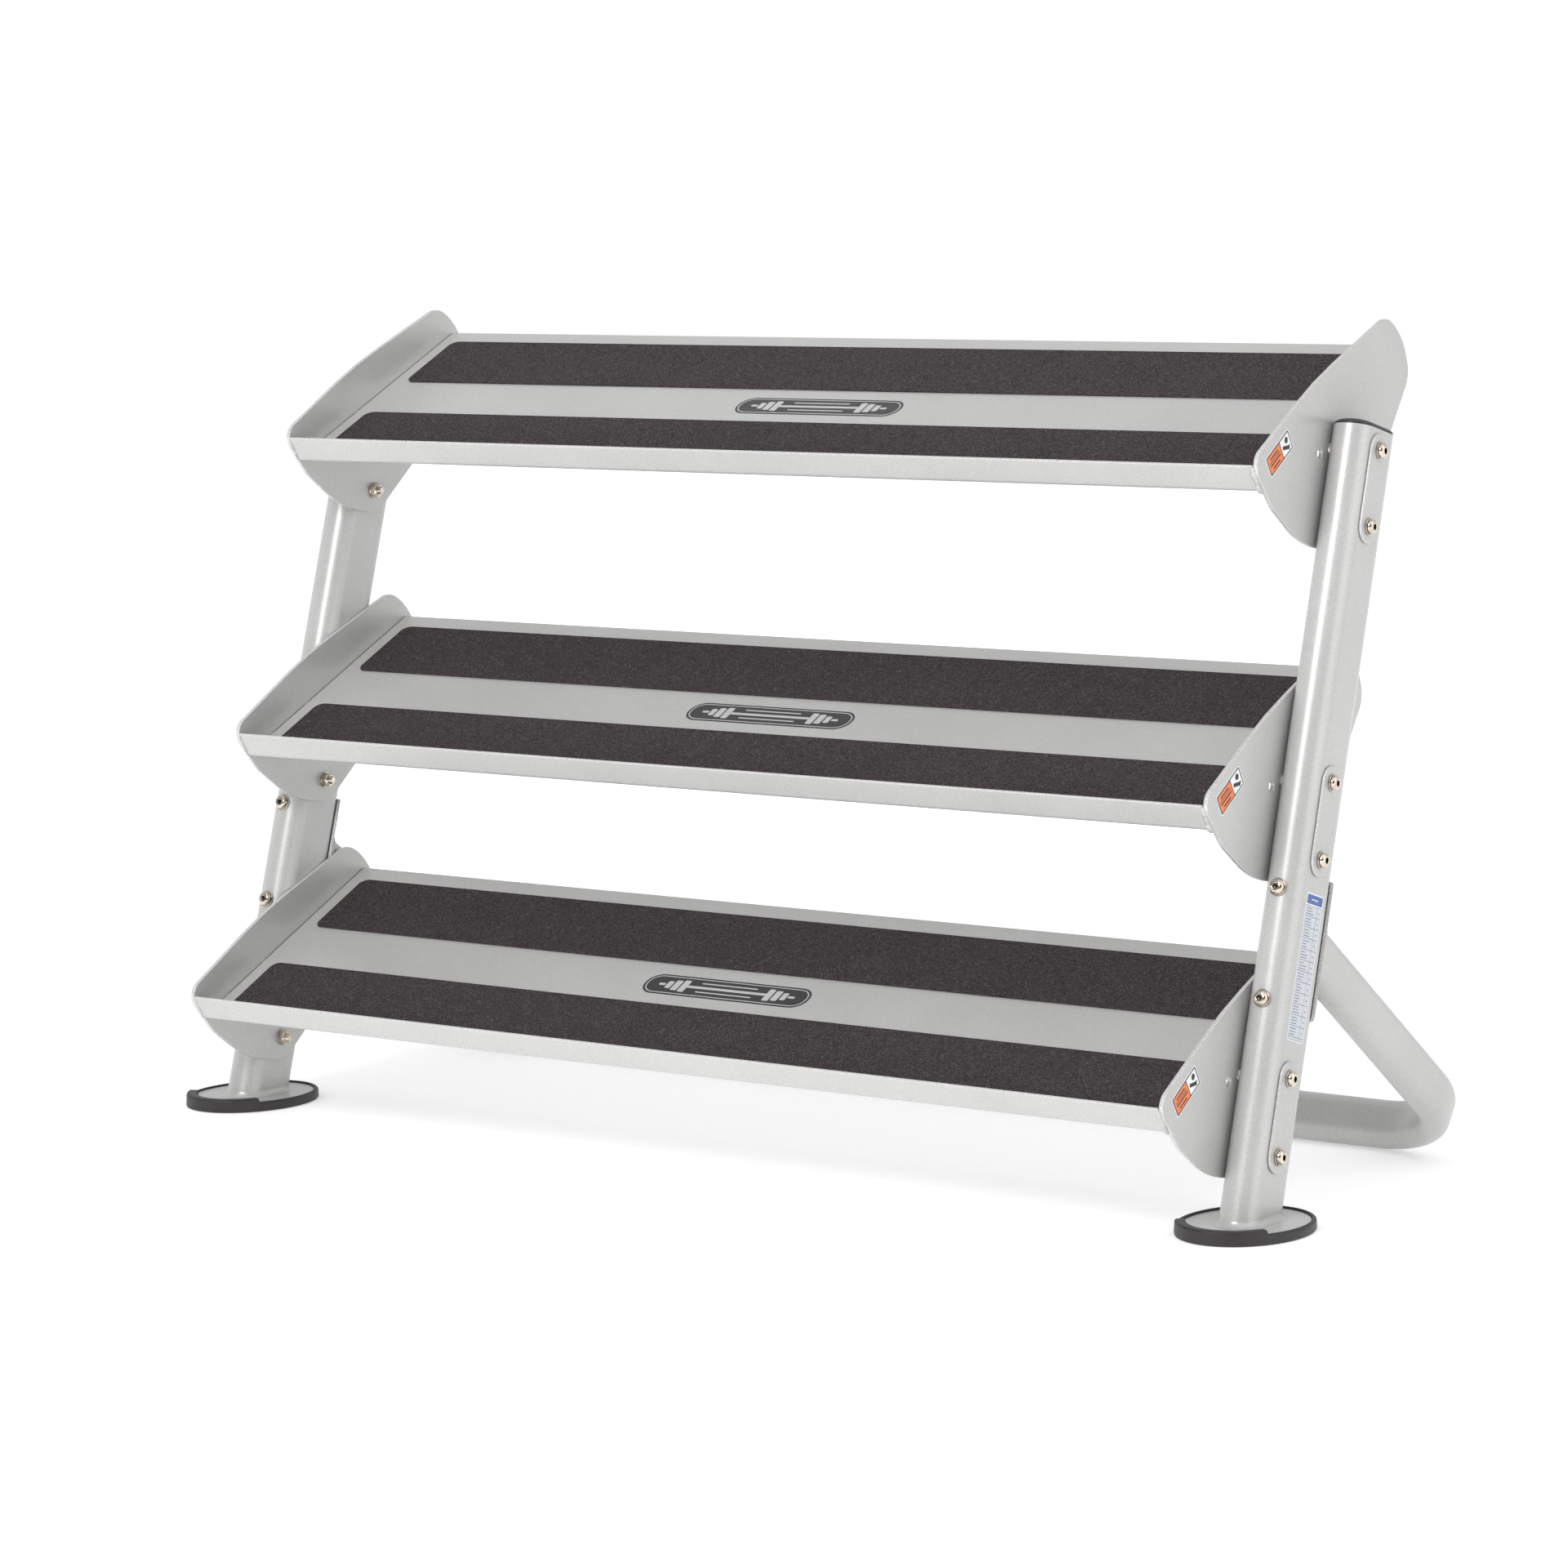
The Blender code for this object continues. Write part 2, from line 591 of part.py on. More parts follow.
def nut_mesh():
    """Hexagon nut with its washer; the washer's outer face is at z = 0, the nut above."""
    bore = SHANK_RADIUS + THREAD_CLEARANCE
    profile = (
        (bore, 0.0, False),
        (WASHER_RADIUS, 0.0, False),
        (WASHER_RADIUS, WASHER_THICKNESS, False),
        (NUT_APOTHEM, WASHER_THICKNESS, True),
        (NUT_APOTHEM, NUT_STACK, True),
        (bore, NUT_STACK, False),
    )
    return turned("shelf_nut", profile, closed=True)


def build_fasteners():
    """Two bolts and nuts for each shelf end, and two screws for each leg of the rear frame."""
    bolt = bolt_mesh("shelf_bolt", BOLT_SEAT_X - NUT_SEAT_X + NUT_STACK + BOLT_TIP)
    nut = nut_mesh()
    for side, sign in SIDES.items():
        outwards = (0, sign * math.pi / 2, 0)
        inwards = (0, -sign * math.pi / 2, 0)
        for tier in TIERS:
            for place, rise in BOLT_RISES.items():
                y, z = on_upright(TIERS[tier] + rise, -BOLT_FORWARD)
                add(f"shelf_bolt_{tier}_{side}_{place}", bolt, zinc, (sign * BOLT_SEAT_X, y, z), outwards)
                add(f"shelf_nut_{tier}_{side}_{place}", nut, zinc, (sign * NUT_SEAT_X, y, z), inwards)
    front = -(UPRIGHT_DEPTH / 2 + GAP)
    reach = ROUND_CENTRE + SADDLE_OUTSIDE + WELD_NUT_HEIGHT + BOLT_TIP - front
    screw = bolt_mesh("frame_screw", reach)
    for side, sign in SIDES.items():
        for place, offset in SCREW_OFFSETS.items():
            y, z = on_upright(SADDLE_RISE + offset, front)
            forwards = (math.pi / 2 - LEAN, 0, 0)
            add(f"frame_screw_{side}_{place}", screw, zinc, (sign * UPRIGHT_X, y, z), forwards)


def centre_on_origin():
    """Move the rack so that the origin is under the middle of its bounding box."""
    bpy.context.view_layer.update()
    depths = []
    for piece in bpy.data.objects:
        if piece.type == "MESH" and not piece.hide_render:
            depths += [(piece.matrix_world @ vertex.co).y for vertex in piece.data.vertices]
    rack.location.y = -(min(depths) + max(depths)) / 2


for leftover in list(bpy.data.objects):
    bpy.data.objects.remove(leftover)

silver = material("silver_powder_coat", (0.58, 0.58, 0.57), 0.42, 0.6)
black_plastic = material("black_plastic", (0.03, 0.03, 0.032), 0.4, 0.0)
black_rubber = material("black_rubber", (0.045, 0.043, 0.045), 0.6, 0.0)
grip = material("grip_mat", (0.05, 0.046, 0.047), 0.95, 0.0)
zinc = material("zinc_plate", (0.75, 0.72, 0.66), 0.25, 1.0)

rack = bpy.data.objects.new("rack", None)
bpy.context.collection.objects.link(rack)

build_uprights()
build_shelves()
build_rear_frame()
build_fasteners()
centre_on_origin()
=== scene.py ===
"""Looks for the three-tier dumbbell rack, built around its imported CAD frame.

Metres, +Z up, the front of the rack faces -Y. Every CAD node is replaced by a finer piece of the
same size: rolled edges, real hexagon sockets, weld beads, mat grain and stickers without lettering.
"""

import random
from math import asin, atan2, ceil, cos, pi, radians, sin, sqrt, tan

import bmesh
import bpy
from mathutils import Matrix, Vector, noise


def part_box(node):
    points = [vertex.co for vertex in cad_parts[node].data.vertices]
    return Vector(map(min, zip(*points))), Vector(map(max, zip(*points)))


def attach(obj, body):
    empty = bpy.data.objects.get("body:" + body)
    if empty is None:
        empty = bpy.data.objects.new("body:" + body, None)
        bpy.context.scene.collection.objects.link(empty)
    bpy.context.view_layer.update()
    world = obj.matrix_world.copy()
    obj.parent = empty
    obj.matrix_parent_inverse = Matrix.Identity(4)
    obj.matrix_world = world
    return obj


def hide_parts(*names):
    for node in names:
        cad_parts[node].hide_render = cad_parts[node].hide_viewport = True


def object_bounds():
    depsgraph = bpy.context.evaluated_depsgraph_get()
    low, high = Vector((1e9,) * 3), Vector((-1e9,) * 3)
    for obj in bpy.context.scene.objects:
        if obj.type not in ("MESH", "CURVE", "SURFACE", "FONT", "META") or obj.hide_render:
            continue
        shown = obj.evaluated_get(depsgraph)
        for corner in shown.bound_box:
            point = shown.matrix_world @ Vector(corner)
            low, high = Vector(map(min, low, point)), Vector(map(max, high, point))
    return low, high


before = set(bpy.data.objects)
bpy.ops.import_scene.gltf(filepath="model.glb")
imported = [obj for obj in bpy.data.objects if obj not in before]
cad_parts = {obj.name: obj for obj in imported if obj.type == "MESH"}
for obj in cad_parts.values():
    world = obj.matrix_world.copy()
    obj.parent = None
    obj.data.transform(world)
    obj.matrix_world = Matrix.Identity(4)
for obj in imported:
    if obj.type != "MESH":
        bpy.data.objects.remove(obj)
cad_low, cad_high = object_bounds()

# ---------- dimensions, as in the CAD source
GAP = 0.0003
FINE = radians(5.0)
SIDES = {"left": -1, "right": 1}
TIERS = {"bottom": 0.0, "middle": 0.3308, "top": 0.7080}

SHELF_LENGTH = 1.372
LEAN = radians(15.74)
UPRIGHT_WIDTH = 0.0477
UPRIGHT_DEPTH = 0.0893
UPRIGHT_TOP = 0.9024
TOP_TILT = radians(3.0)
UPRIGHT_WALL = 0.003

PLATE_THICKNESS = 0.005
PLATE_CORNERS = (
    (-0.1120, 0.1060, 0.052),
    (-0.0445, 0.0610, 0.165),
    (0.0250, 0.0520, 0.042),
    (0.1455, 0.1530, 0.300),
    (0.2085, 0.2435, 0.030),
    (0.1940, 0.2895, 0.080),
    (0.1500, 0.3125, 0.033),
    (-0.0150, 0.2430, 0.700),
    (-0.1580, 0.1580, 0.019),
)
SPARE_HOLES = ((-0.0045, 0.1622), (0.0212, 0.1664))
SPARE_HOLE_RADIUS = 0.0056

SHELF_SLOPE = radians(26.2)
SHELF_DATUM_Z = 0.1905
SHEET = 0.003
TRAY_FRONT = -0.1462
TRAY_REAR = 0.2052
LIP_HEIGHT = 0.0321
LIP_OPENING = radians(7.0)
TRAY_END_GAP = 0.0009
LIP_WELD = {"left": 0.0018, "right": 0.0032}
REAR_FLANGE = 0.020
BEND_INSIDE = 0.003

MAT_SPANS = {"front": (-0.1288, -0.0202), "rear": (0.0631, 0.1740)}
MAT_THICKNESS = 0.0015
MAT_END_MARGIN = 0.0212
MAT_CORNER = 0.012

BOLT_RISES = {"lower": 0.0828, "upper": 0.1696}
BOLT_FORWARD = 0.006
STRAP_WIDTH = 0.038
STRAP_THICKNESS = 0.003
SHANK_RADIUS = 0.005
WASHER_RADIUS = 0.010
WASHER_THICKNESS = 0.002
HEAD_RADIUS = 0.00875
HEAD_HEIGHT = 0.0055
SOCKET_APOTHEM = 0.003
SOCKET_DEPTH = 0.003
NUT_APOTHEM = 0.0085
NUT_HEIGHT = 0.008
BOLT_TIP = 0.0035

SADDLE_RISE = 0.3130
SADDLE_BELOW = 0.0743
SADDLE_ABOVE = 0.0835
SADDLE_THICKNESS = 0.004
SADDLE_WRAP = radians(57.0)
SADDLE_SPRING = 0.0011  # how far its free edges stand off the tube
SCREW_OFFSETS = {"lower": -0.062, "upper": 0.062}
LEG_RISE = 0.3172
WELD_NUT_HEIGHT = 0.008
REAR_TUBE_WIDTH = 0.038
REAR_TUBE_DEPTH = 0.060
REAR_SLOPE = radians(34.2)
REAR_BEND = 0.110

FOOT_FORWARD = 0.0062
FOOT_HALF_X = 0.0716
FOOT_HALF_Y = 0.0966
BOOT_BASE = 0.0035
BOOT_WALL = 0.0055
BOOT_HEIGHT = 0.0120
TOE_HEIGHT = 0.0165
TOE_OVERLAP = 0.007
TOE_START = -0.055
FOOT_PLATE_BOTTOM = BOOT_BASE + GAP
FOOT_PLATE_TOP = FOOT_PLATE_BOTTOM + 0.006

# ---------- derived positions
foot_low, foot_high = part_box("foot_plate_right")
UPRIGHT_X = (foot_low.x + foot_high.x) / 2
AXIS_Y = (foot_low.y + foot_high.y) / 2 + FOOT_FORWARD  # the uprights meet the floor here
PLATE_X = SHELF_LENGTH / 2
STRAP_X = UPRIGHT_X + UPRIGHT_WIDTH / 2 + GAP
BOLT_SEAT_X = STRAP_X + STRAP_THICKNESS + GAP
NUT_SEAT_X = PLATE_X - GAP
NUT_STACK = WASHER_THICKNESS + NUT_HEIGHT
ROUND_CENTRE = (UPRIGHT_DEPTH - UPRIGHT_WIDTH) / 2
SADDLE_INSIDE = UPRIGHT_WIDTH / 2 + GAP
SADDLE_OUTSIDE = SADDLE_INSIDE + SADDLE_THICKNESS


def on_upright(rise, back=0.0):
    """(y, z) of a point at a rise up the upright's centre line and a distance behind it."""
    return (AXIS_Y + rise * sin(LEAN) + back * cos(LEAN),
            rise * cos(LEAN) - back * sin(LEAN))


def upright_frame(sign):
    """Axes of an upright: x sideways, y back, z along its centre line."""
    return Matrix.Translation((sign * UPRIGHT_X, AXIS_Y, 0)) @ Matrix.Rotation(-LEAN, 4, "X")


def tier_frame(tier):
    """Axes of a tier's end plates: the bottom tier's own, moved up along the uprights."""
    y, z = on_upright(TIERS[tier])
    return Matrix.Translation((0, y, z))


def bed_frame(tier):
    """Axes of a tray: x along it, y up its slope, z square to the bed's top face."""
    lift = Matrix.Translation((0, 0, SHELF_DATUM_Z))
    return tier_frame(tier) @ lift @ Matrix.Rotation(SHELF_SLOPE, 4, "X")


# ---------- outlines
def arc(start, end, centre, radius, step=FINE):
    """Points on an arc from angle start to angle end."""
    count = max(1, ceil(abs(end - start) / step - 1e-6))
    angles = [start + (end - start) * i / count for i in range(count + 1)]
    return [(centre[0] + radius * cos(a), centre[1] + radius * sin(a)) for a in angles]


def circle(centre, radius, segments=40):
    turns = [2 * pi * i / segments for i in range(segments)]
    return [(centre[0] + radius * cos(t), centre[1] + radius * sin(t)) for t in turns]


def rounded(corners, step=FINE):
    """A closed outline through (a, b, radius) corners, each rounded to its radius."""
    outline = []
    for i, (a, b, radius) in enumerate(corners):
        corner = Vector((a, b))
        to_last = (Vector(corners[i - 1][:2]) - corner).normalized()
        to_next = (Vector(corners[(i + 1) % len(corners)][:2]) - corner).normalized()
        half_angle = to_last.angle(to_next) / 2
        centre = corner + (to_last + to_next).normalized() * (radius / sin(half_angle))
        reach = radius / tan(half_angle)
        first = corner + to_last * reach - centre
        last = corner + to_next * reach - centre
        start = atan2(first.y, first.x)
        turn = atan2(first.cross(last), first.dot(last))
        outline += arc(start, start + turn, centre, radius, min(step, max(FINE, abs(turn) / 4)))
    return outline


def rectangle(half_a, half_b, radius, centre=(0.0, 0.0), step=radians(18)):
    """A rectangle with rounded corners."""
    ca, cb = centre
    signs = ((-1, -1), (1, -1), (1, 1), (-1, 1))
    return rounded([(ca + s * half_a, cb + t * half_b, radius) for s, t in signs], step)


def flat_oval(width, depth, step=FINE):
    """Straight sides at +-width/2, round ends towards +-y."""
    back = arc(0, pi, (0, (depth - width) / 2), width / 2, step)
    return back + [(-x, -y) for x, y in back]


def counter_clockwise(outline):
    """The outline without repeated points, running counter-clockwise."""
    kept = [p for i, p in enumerate(outline) if (Vector(p) - Vector(outline[i - 1])).length > 1e-6]
    area = sum(p[0] * q[1] - q[0] * p[1] for p, q in zip(kept, kept[1:] + kept[:1]))
    return kept if area > 0 else kept[::-1]


def inset(outline, distance):
    """A counter-clockwise outline moved inwards by a distance, less far at very sharp corners."""
    sharpest = 0.4
    moved = []
    for i, point in enumerate(outline):
        into = (Vector(point) - Vector(outline[i - 1])).normalized()
        away = (Vector(outline[(i + 1) % len(outline)]) - Vector(point)).normalized()
        square = Vector((-into.y - away.y, into.x + away.x))
        moved.append(Vector(point) + square * (distance / max(sharpest, 1 + into.dot(away))))
    return [(p.x, p.y) for p in moved]


# ---------- meshes
MARKED_SHARE = 0.6  # of a rolled edge, counted from outside
SHARP_ANGLE = radians(40)
BEAD_STEP = 0.0014  # longest step along a weld bead
BEAD_RIPPLE = 0.07  # depth of its even ripples, as a share of its radius
BEAD_LUMPS = 170  # lumps to a metre, roughly


def new_mesh():
    """An empty bmesh with a mark from 0 to 1 on each vertex: wear and a painted edge highlight on paint,
    painted shade on zinc.
    """
    bm = bmesh.new()
    bm.verts.layers.float.new("edge")
    return bm


def bridge(bm, ring, following):
    for i in range(len(ring)):
        j = (i + 1) % len(ring)
        bm.faces.new((ring[i], ring[j], following[j], following[i]))


def loft(bm, rings, closed=False, edges=()):
    """A solid through rings of points; the rings whose numbers are in edges are marked."""
    layer = bm.verts.layers.float["edge"]
    loops = []
    for number, ring in enumerate(rings):
        loops.append([bm.verts.new(point) for point in ring])
        if number in edges:
            for vertex in loops[-1]:
                vertex[layer] = 1.0
    for ring, following in zip(loops, loops[1:]):
        bridge(bm, ring, following)
    if closed:
        bridge(bm, loops[-1], loops[0])
    else:
        bm.faces.new(loops[0])
        bm.faces.new(loops[-1])
    return loops


def slab(bm, outline, low, high, to_3d, holes=(), roll=0.0008, material=0, roll_steps=3):
    """A flat plate between two heights, with holes and rolled edges, the outer part marked."""
    layer = bm.verts.layers.float["edge"]
    turns = [pi / 2 * k / roll_steps for k in range(roll_steps + 1)]
    lower = [(roll * (1 - sin(t)), low + roll * (1 - cos(t))) for t in turns]
    profile = lower + [(step, low + high - height) for step, height in reversed(lower)]
    made, caps = [], ([], [])
    for number, loop in enumerate((outline, *holes)):
        loop = counter_clockwise(loop)
        outward = -1 if number else 1
        rings = []
        for step, height in profile:
            ring = [bm.verts.new(to_3d(a, b, height)) for a, b in inset(loop, outward * step)]
            for vertex in ring:
                vertex[layer] = 1.0 if step < roll * MARKED_SHARE else 0.0
            rings.append(ring)
        for ring, following in zip(rings, rings[1:]):
            before = len(bm.faces)
            bridge(bm, ring, following)
            bm.faces.ensure_lookup_table()
            made += bm.faces[before:]
        caps[0].append(rings[0])
        caps[1].append(rings[-1])
    for loops in caps:
        if len(loops) == 1:
            made.append(bm.faces.new(loops[0]))
        else:
            pairs = [(loop[i - 1], loop[i]) for loop in loops for i in range(len(loop))]
            edges = [bm.edges.get(pair) for pair in pairs]
            filled = bmesh.ops.triangle_fill(bm, use_beauty=True, use_dissolve=False, edges=edges)
            made += [f for f in filled["geom"] if isinstance(f, bmesh.types.BMFace)]
    for face in made:
        face.material_index = material


def across(a, b, height):
    return (height, a, b)


def flat(a, b, height):
    return (a, b, height)


def turned(bm, profile, closed=False, segments=48, matrix=None, edges=()):
    """A turned solid about z; a profile entry (radius, z, share) blends to a hexagon by share."""
    rings = []
    for radius, height, share in profile:
        ring = []
        for i in range(segments):
            angle = 2 * pi * i / segments
            off_flat = (angle + pi / 6) % (pi / 3) - pi / 6
            reach = radius * (1 + share * (1 / cos(off_flat) - 1))
            point = Vector((reach * cos(angle), reach * sin(angle), height))
            ring.append(matrix @ point if matrix else point)
        rings.append(ring)
    loft(bm, rings, closed, edges)


def resample(path, spacing, closed=False):
    """Evenly spaced points along a polyline."""
    path = [Vector(p) for p in path]
    if closed:
        path = path + path[:1]
    lengths = [0.0]
    for p, q in zip(path, path[1:]):
        lengths.append(lengths[-1] + (q - p).length)
    count = max(4, round(lengths[-1] / spacing))
    points, leg = [], 0
    for i in range(count if closed else count + 1):
        want = lengths[-1] * i / count
        while leg < len(path) - 2 and lengths[leg + 1] < want:
            leg += 1
        span = max(1e-9, lengths[leg + 1] - lengths[leg])
        points.append(path[leg].lerp(path[leg + 1], (want - lengths[leg]) / span))
    return points


def bead(bm, path, radius, reference, closed=False, pitch=0.0042, rough=0.16, seed=0, sides=10):
    """A weld bead: a rippled round run along a path, tapered where it starts and stops."""
    spacing = min(BEAD_STEP, radius)
    points = resample(path, spacing, closed)
    rings = []
    for i, point in enumerate(points):
        before = points[i - 1] if i or closed else point
        after = points[(i + 1) % len(points)] if i < len(points) - 1 or closed else point
        along = (after - before).normalized()
        side = (reference - along * reference.dot(along)).normalized()
        square = along.cross(side)
        ripple = BEAD_RIPPLE * sin(2 * pi * i * spacing / pitch)
        wobble = rough * noise.noise(point * BEAD_LUMPS + Vector((seed, 0, 0)))
        size = radius * (1 + ripple + wobble)
        if not closed:
            end = min(i, len(points) - 1 - i) * spacing / (2 * radius)
            size *= sin(min(1.0, 0.25 + end) * pi / 2)
        section = circle((0, 0), size, sides)
        rings.append([point + side * a + square * b for a, b in section])
    loft(bm, rings, closed)


def piece(name, bm, materials, nodes=(), matrix=None):
    """Finish a bmesh into a named piece of the rack that stands for CAD nodes."""
    if matrix:
        bmesh.ops.transform(bm, matrix=matrix, verts=bm.verts)
    bmesh.ops.recalc_face_normals(bm, faces=bm.faces)
    mesh = bpy.data.meshes.new(name)
    bm.to_mesh(mesh)
    bm.free()
    for material in materials if isinstance(materials, (list, tuple)) else [materials]:
        mesh.materials.append(material)
    mesh.shade_smooth()
    mesh.set_sharp_from_angle(angle=SHARP_ANGLE)
    made = bpy.data.objects.new(name, mesh)
    bpy.context.scene.collection.objects.link(made)
    weighted = made.modifiers.new("weighted", "WEIGHTED_NORMAL")
    weighted.keep_sharp = True
    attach(made, "root")
    if nodes:
        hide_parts(*nodes)
    return made


# ---------- materials, scales in grains to a metre
def new_material(name):
    made = bpy.data.materials.new(name)
    made.use_nodes = True
    return made, made.node_tree, made.node_tree.nodes["Principled BSDF"]


def add_node(tree, kind, inputs=(), **settings):
    """A shader node with its settings and inputs; an input may be a number or a socket."""
    made = tree.nodes.new(kind)
    for key, value in settings.items():
        setattr(made, key, value)
    for key, value in dict(inputs).items():
        if isinstance(value, bpy.types.NodeSocket):
            tree.links.new(value, made.inputs[key])
        else:
            made.inputs[key].default_value = value
    return made


def object_coordinates(tree):
    return add_node(tree, "ShaderNodeTexCoord").outputs["Object"]


def grain(tree, where, scale, detail=2.0, rough=0.5):
    """Noise of about 1/scale metres, from 0 to 1."""
    inputs = {"Vector": where, "Scale": scale, "Detail": detail, "Roughness": rough}
    return add_node(tree, "ShaderNodeTexNoise", inputs).outputs["Fac"]


def cells(tree, where, scale):
    """A random level from 0 to 1 for each grain of about 1/scale metres."""
    found = add_node(tree, "ShaderNodeTexVoronoi", {"Vector": where, "Scale": scale})
    return add_node(tree, "ShaderNodeSeparateColor", {"Color": found.outputs["Color"]}).outputs[0]


def remap(tree, value, low, high, start=0.0, end=1.0):
    inputs = {"Value": value, "From Min": start, "From Max": end, "To Min": low, "To Max": high}
    return add_node(tree, "ShaderNodeMapRange", inputs).outputs["Result"]


def vary(tree, value, low, high):
    """A noise spread over a range; nearly all of it lies between 0.3 and 0.7."""
    return remap(tree, value, low, high, 0.3, 0.7)


def maths(tree, operation, a, b):
    return add_node(tree, "ShaderNodeMath", {0: a, 1: b}, operation=operation).outputs[0]


def times(tree, first, *others):
    for other in others:
        first = maths(tree, "MULTIPLY", first, other)
    return first


def wire(tree, shader, colour, roughness, normal):
    for name, value in (("Base Color", colour), ("Roughness", roughness), ("Normal", normal)):
        tree.links.new(value, shader.inputs[name])


def edge_mark(tree):
    return add_node(tree, "ShaderNodeAttribute", attribute_name="edge").outputs["Fac"]


def tinted(tree, colour, level):
    """A colour scaled by a level."""
    inputs = {0: colour, "Scale": level}
    return add_node(tree, "ShaderNodeVectorMath", inputs, operation="SCALE").outputs["Vector"]


def bumped(tree, height, strength, distance, normal=None):
    inputs = {"Height": height, "Strength": strength, "Distance": distance}
    if normal:
        inputs["Normal"] = normal
    return add_node(tree, "ShaderNodeBump", inputs).outputs["Normal"]


def silver_paint(name, peel=1.0):
    """Metallic silver powder coat: fine flakes, slight orange peel, paler on its marked edges, partly wear
    and partly a painted highlight.
    """
    made, tree, shader = new_material(name)
    where = object_coordinates(tree)
    flakes = cells(tree, where, 950)
    cloud = grain(tree, where, 520, 3.0, 0.65)
    broad = grain(tree, where, 7, 3.0)
    edge_noise = grain(tree, where, 130, 4.0, 0.7)
    edge = edge_mark(tree)
    mottle = (remap(tree, flakes, 0.93, 1.07), vary(tree, cloud, 0.945, 1.055),
              vary(tree, broad, 0.965, 1.035))
    # marked edges painted paler: partly wear, partly a painted highlight along the edges
    edge_wear_and_highlight = times(tree, edge, remap(tree, edge_noise, 0.10, 0.18, 0.35, 0.65))
    level = maths(tree, "ADD", times(tree, *mottle), edge_wear_and_highlight)
    gloss = maths(tree, "ADD", vary(tree, cloud, 0.30, 0.37), vary(tree, broad, -0.02, 0.02))
    gloss = maths(tree, "SUBTRACT", gloss, times(tree, edge, 0.06))
    shader.inputs["Metallic"].default_value = 0.25
    shader.inputs["Coat Weight"].default_value = 0.10
    shader.inputs["Coat Roughness"].default_value = 0.30
    fine = bumped(tree, cloud, 0.05 * peel, 0.0004)
    coarse = bumped(tree, grain(tree, where, 150, 2.0), 0.022 * peel, 0.001, fine)
    wire(tree, shader, tinted(tree, SILVER, level), gloss, coarse)
    return made


def moulded(name, colour, gloss, scale, depth):
    """Moulded black plastic or rubber with a fine texture and a trace of dust."""
    dust = 0.25
    made, tree, shader = new_material(name)
    where = object_coordinates(tree)
    texture = grain(tree, where, scale, 3.0, 0.6)
    broad = grain(tree, where, 24, 4.0, 0.6)
    level = times(tree, vary(tree, texture, 0.82, 1.2), vary(tree, broad, 1 - dust, 1 + dust))
    dull = vary(tree, broad, gloss - 0.05, gloss + 0.07)
    dull = maths(tree, "ADD", dull, vary(tree, texture, -0.03, 0.03))
    wire(tree, shader, tinted(tree, colour, level), dull, bumped(tree, texture, 0.35, depth))
    return made


def grip_surface():
    """Gritty anti-slip mat: charcoal grains, a few of them glinting."""
    made, tree, shader = new_material("grip_mat_grit")
    where = object_coordinates(tree)
    grains = 760
    grit = cells(tree, where, grains)
    clumps = grain(tree, where, 430, 3.0, 0.7)
    broad = grain(tree, where, 12, 3.0, 0.6)
    found = add_node(tree, "ShaderNodeTexVoronoi", {"Vector": where, "Scale": grains})
    mottle = (remap(tree, grit, 0.50, 1.50), vary(tree, clumps, 0.45, 1.55), vary(tree, broad, 0.94, 1.06))
    glint = remap(tree, grit, 0.0, 1.6, 0.955, 1.0)
    level = maths(tree, "ADD", times(tree, *mottle), glint)
    shader.inputs["Specular IOR Level"].default_value = 0.30
    height = maths(tree, "SUBTRACT", clumps, times(tree, found.outputs["Distance"], 0.6))
    bump = bumped(tree, height, 0.8, 0.0009)
    wire(tree, shader, tinted(tree, GRIT, level), remap(tree, grit, 1.0, 0.72), bump)
    return made


def plated():
    """Warm zinc plating with faint turning marks and painted shade in its corners and sockets."""
    made, tree, shader = new_material("zinc_plating")
    where = object_coordinates(tree)
    marks = grain(tree, where, 900, 2.0)
    stain = grain(tree, where, 90, 3.0, 0.6)
    # marked corners and sockets darkened: painted shade
    painted_shade = remap(tree, edge_mark(tree), 1.0, 0.10)
    level = times(tree, vary(tree, marks, 0.93, 1.07), vary(tree, stain, 0.80, 1.10), painted_shade)
    shader.inputs["Metallic"].default_value = 1.0
    bump = bumped(tree, marks, 0.12, 0.0002)
    wire(tree, shader, tinted(tree, ZINC, level), vary(tree, stain, 0.14, 0.26), bump)
    return made


def printed(name, colour, gloss=0.42):
    """Printed vinyl film with a slightly uneven ink."""
    made, tree, shader = new_material(name)
    where = object_coordinates(tree)
    ink = grain(tree, where, 800, 2.0)
    broad = grain(tree, where, 60, 2.0)
    level = times(tree, vary(tree, ink, 0.95, 1.05), vary(tree, broad, 0.97, 1.03))
    dull = vary(tree, broad, gloss - 0.05, gloss + 0.05)
    wire(tree, shader, tinted(tree, colour, level), dull, bumped(tree, ink, 0.04, 0.0002))
    return made


SILVER = (0.500, 0.498, 0.493)
GRIT = (0.041, 0.034, 0.035)
ZINC = (0.70, 0.62, 0.53)

silver = silver_paint("silver_powder_coat_flake")
silver_weld = silver_paint("silver_powder_coat_weld", peel=2.2)
cap_plastic = moulded("cap_plastic_satin", (0.026, 0.026, 0.028), 0.36, 700, 0.0003)
boot_rubber = moulded("boot_rubber_satin", (0.021, 0.018, 0.019), 0.50, 480, 0.0004)
mat_grit = grip_surface()
# a dark strip standing for the shade in the gap beside each bed: painted shade
seam_painted_shade = moulded("gap_painted_shade", (0.060, 0.060, 0.062), 0.60, 480, 0.0003)
zinc = plated()
film_white = printed("film_white", (0.80, 0.81, 0.83))
film_dark = printed("film_dark", (0.022, 0.021, 0.026))
film_orange = printed("film_orange", (0.80, 0.20, 0.055))
film_blue = printed("film_blue", (0.060, 0.125, 0.34))
film_grey = printed("film_grey", (0.17, 0.19, 0.26))
film_pale = printed("film_pale", (0.57, 0.59, 0.63))
film_black = printed("film_black", (0.022, 0.021, 0.023), 0.34)
film_silver = printed("film_silver", (0.50, 0.50, 0.50), 0.40)


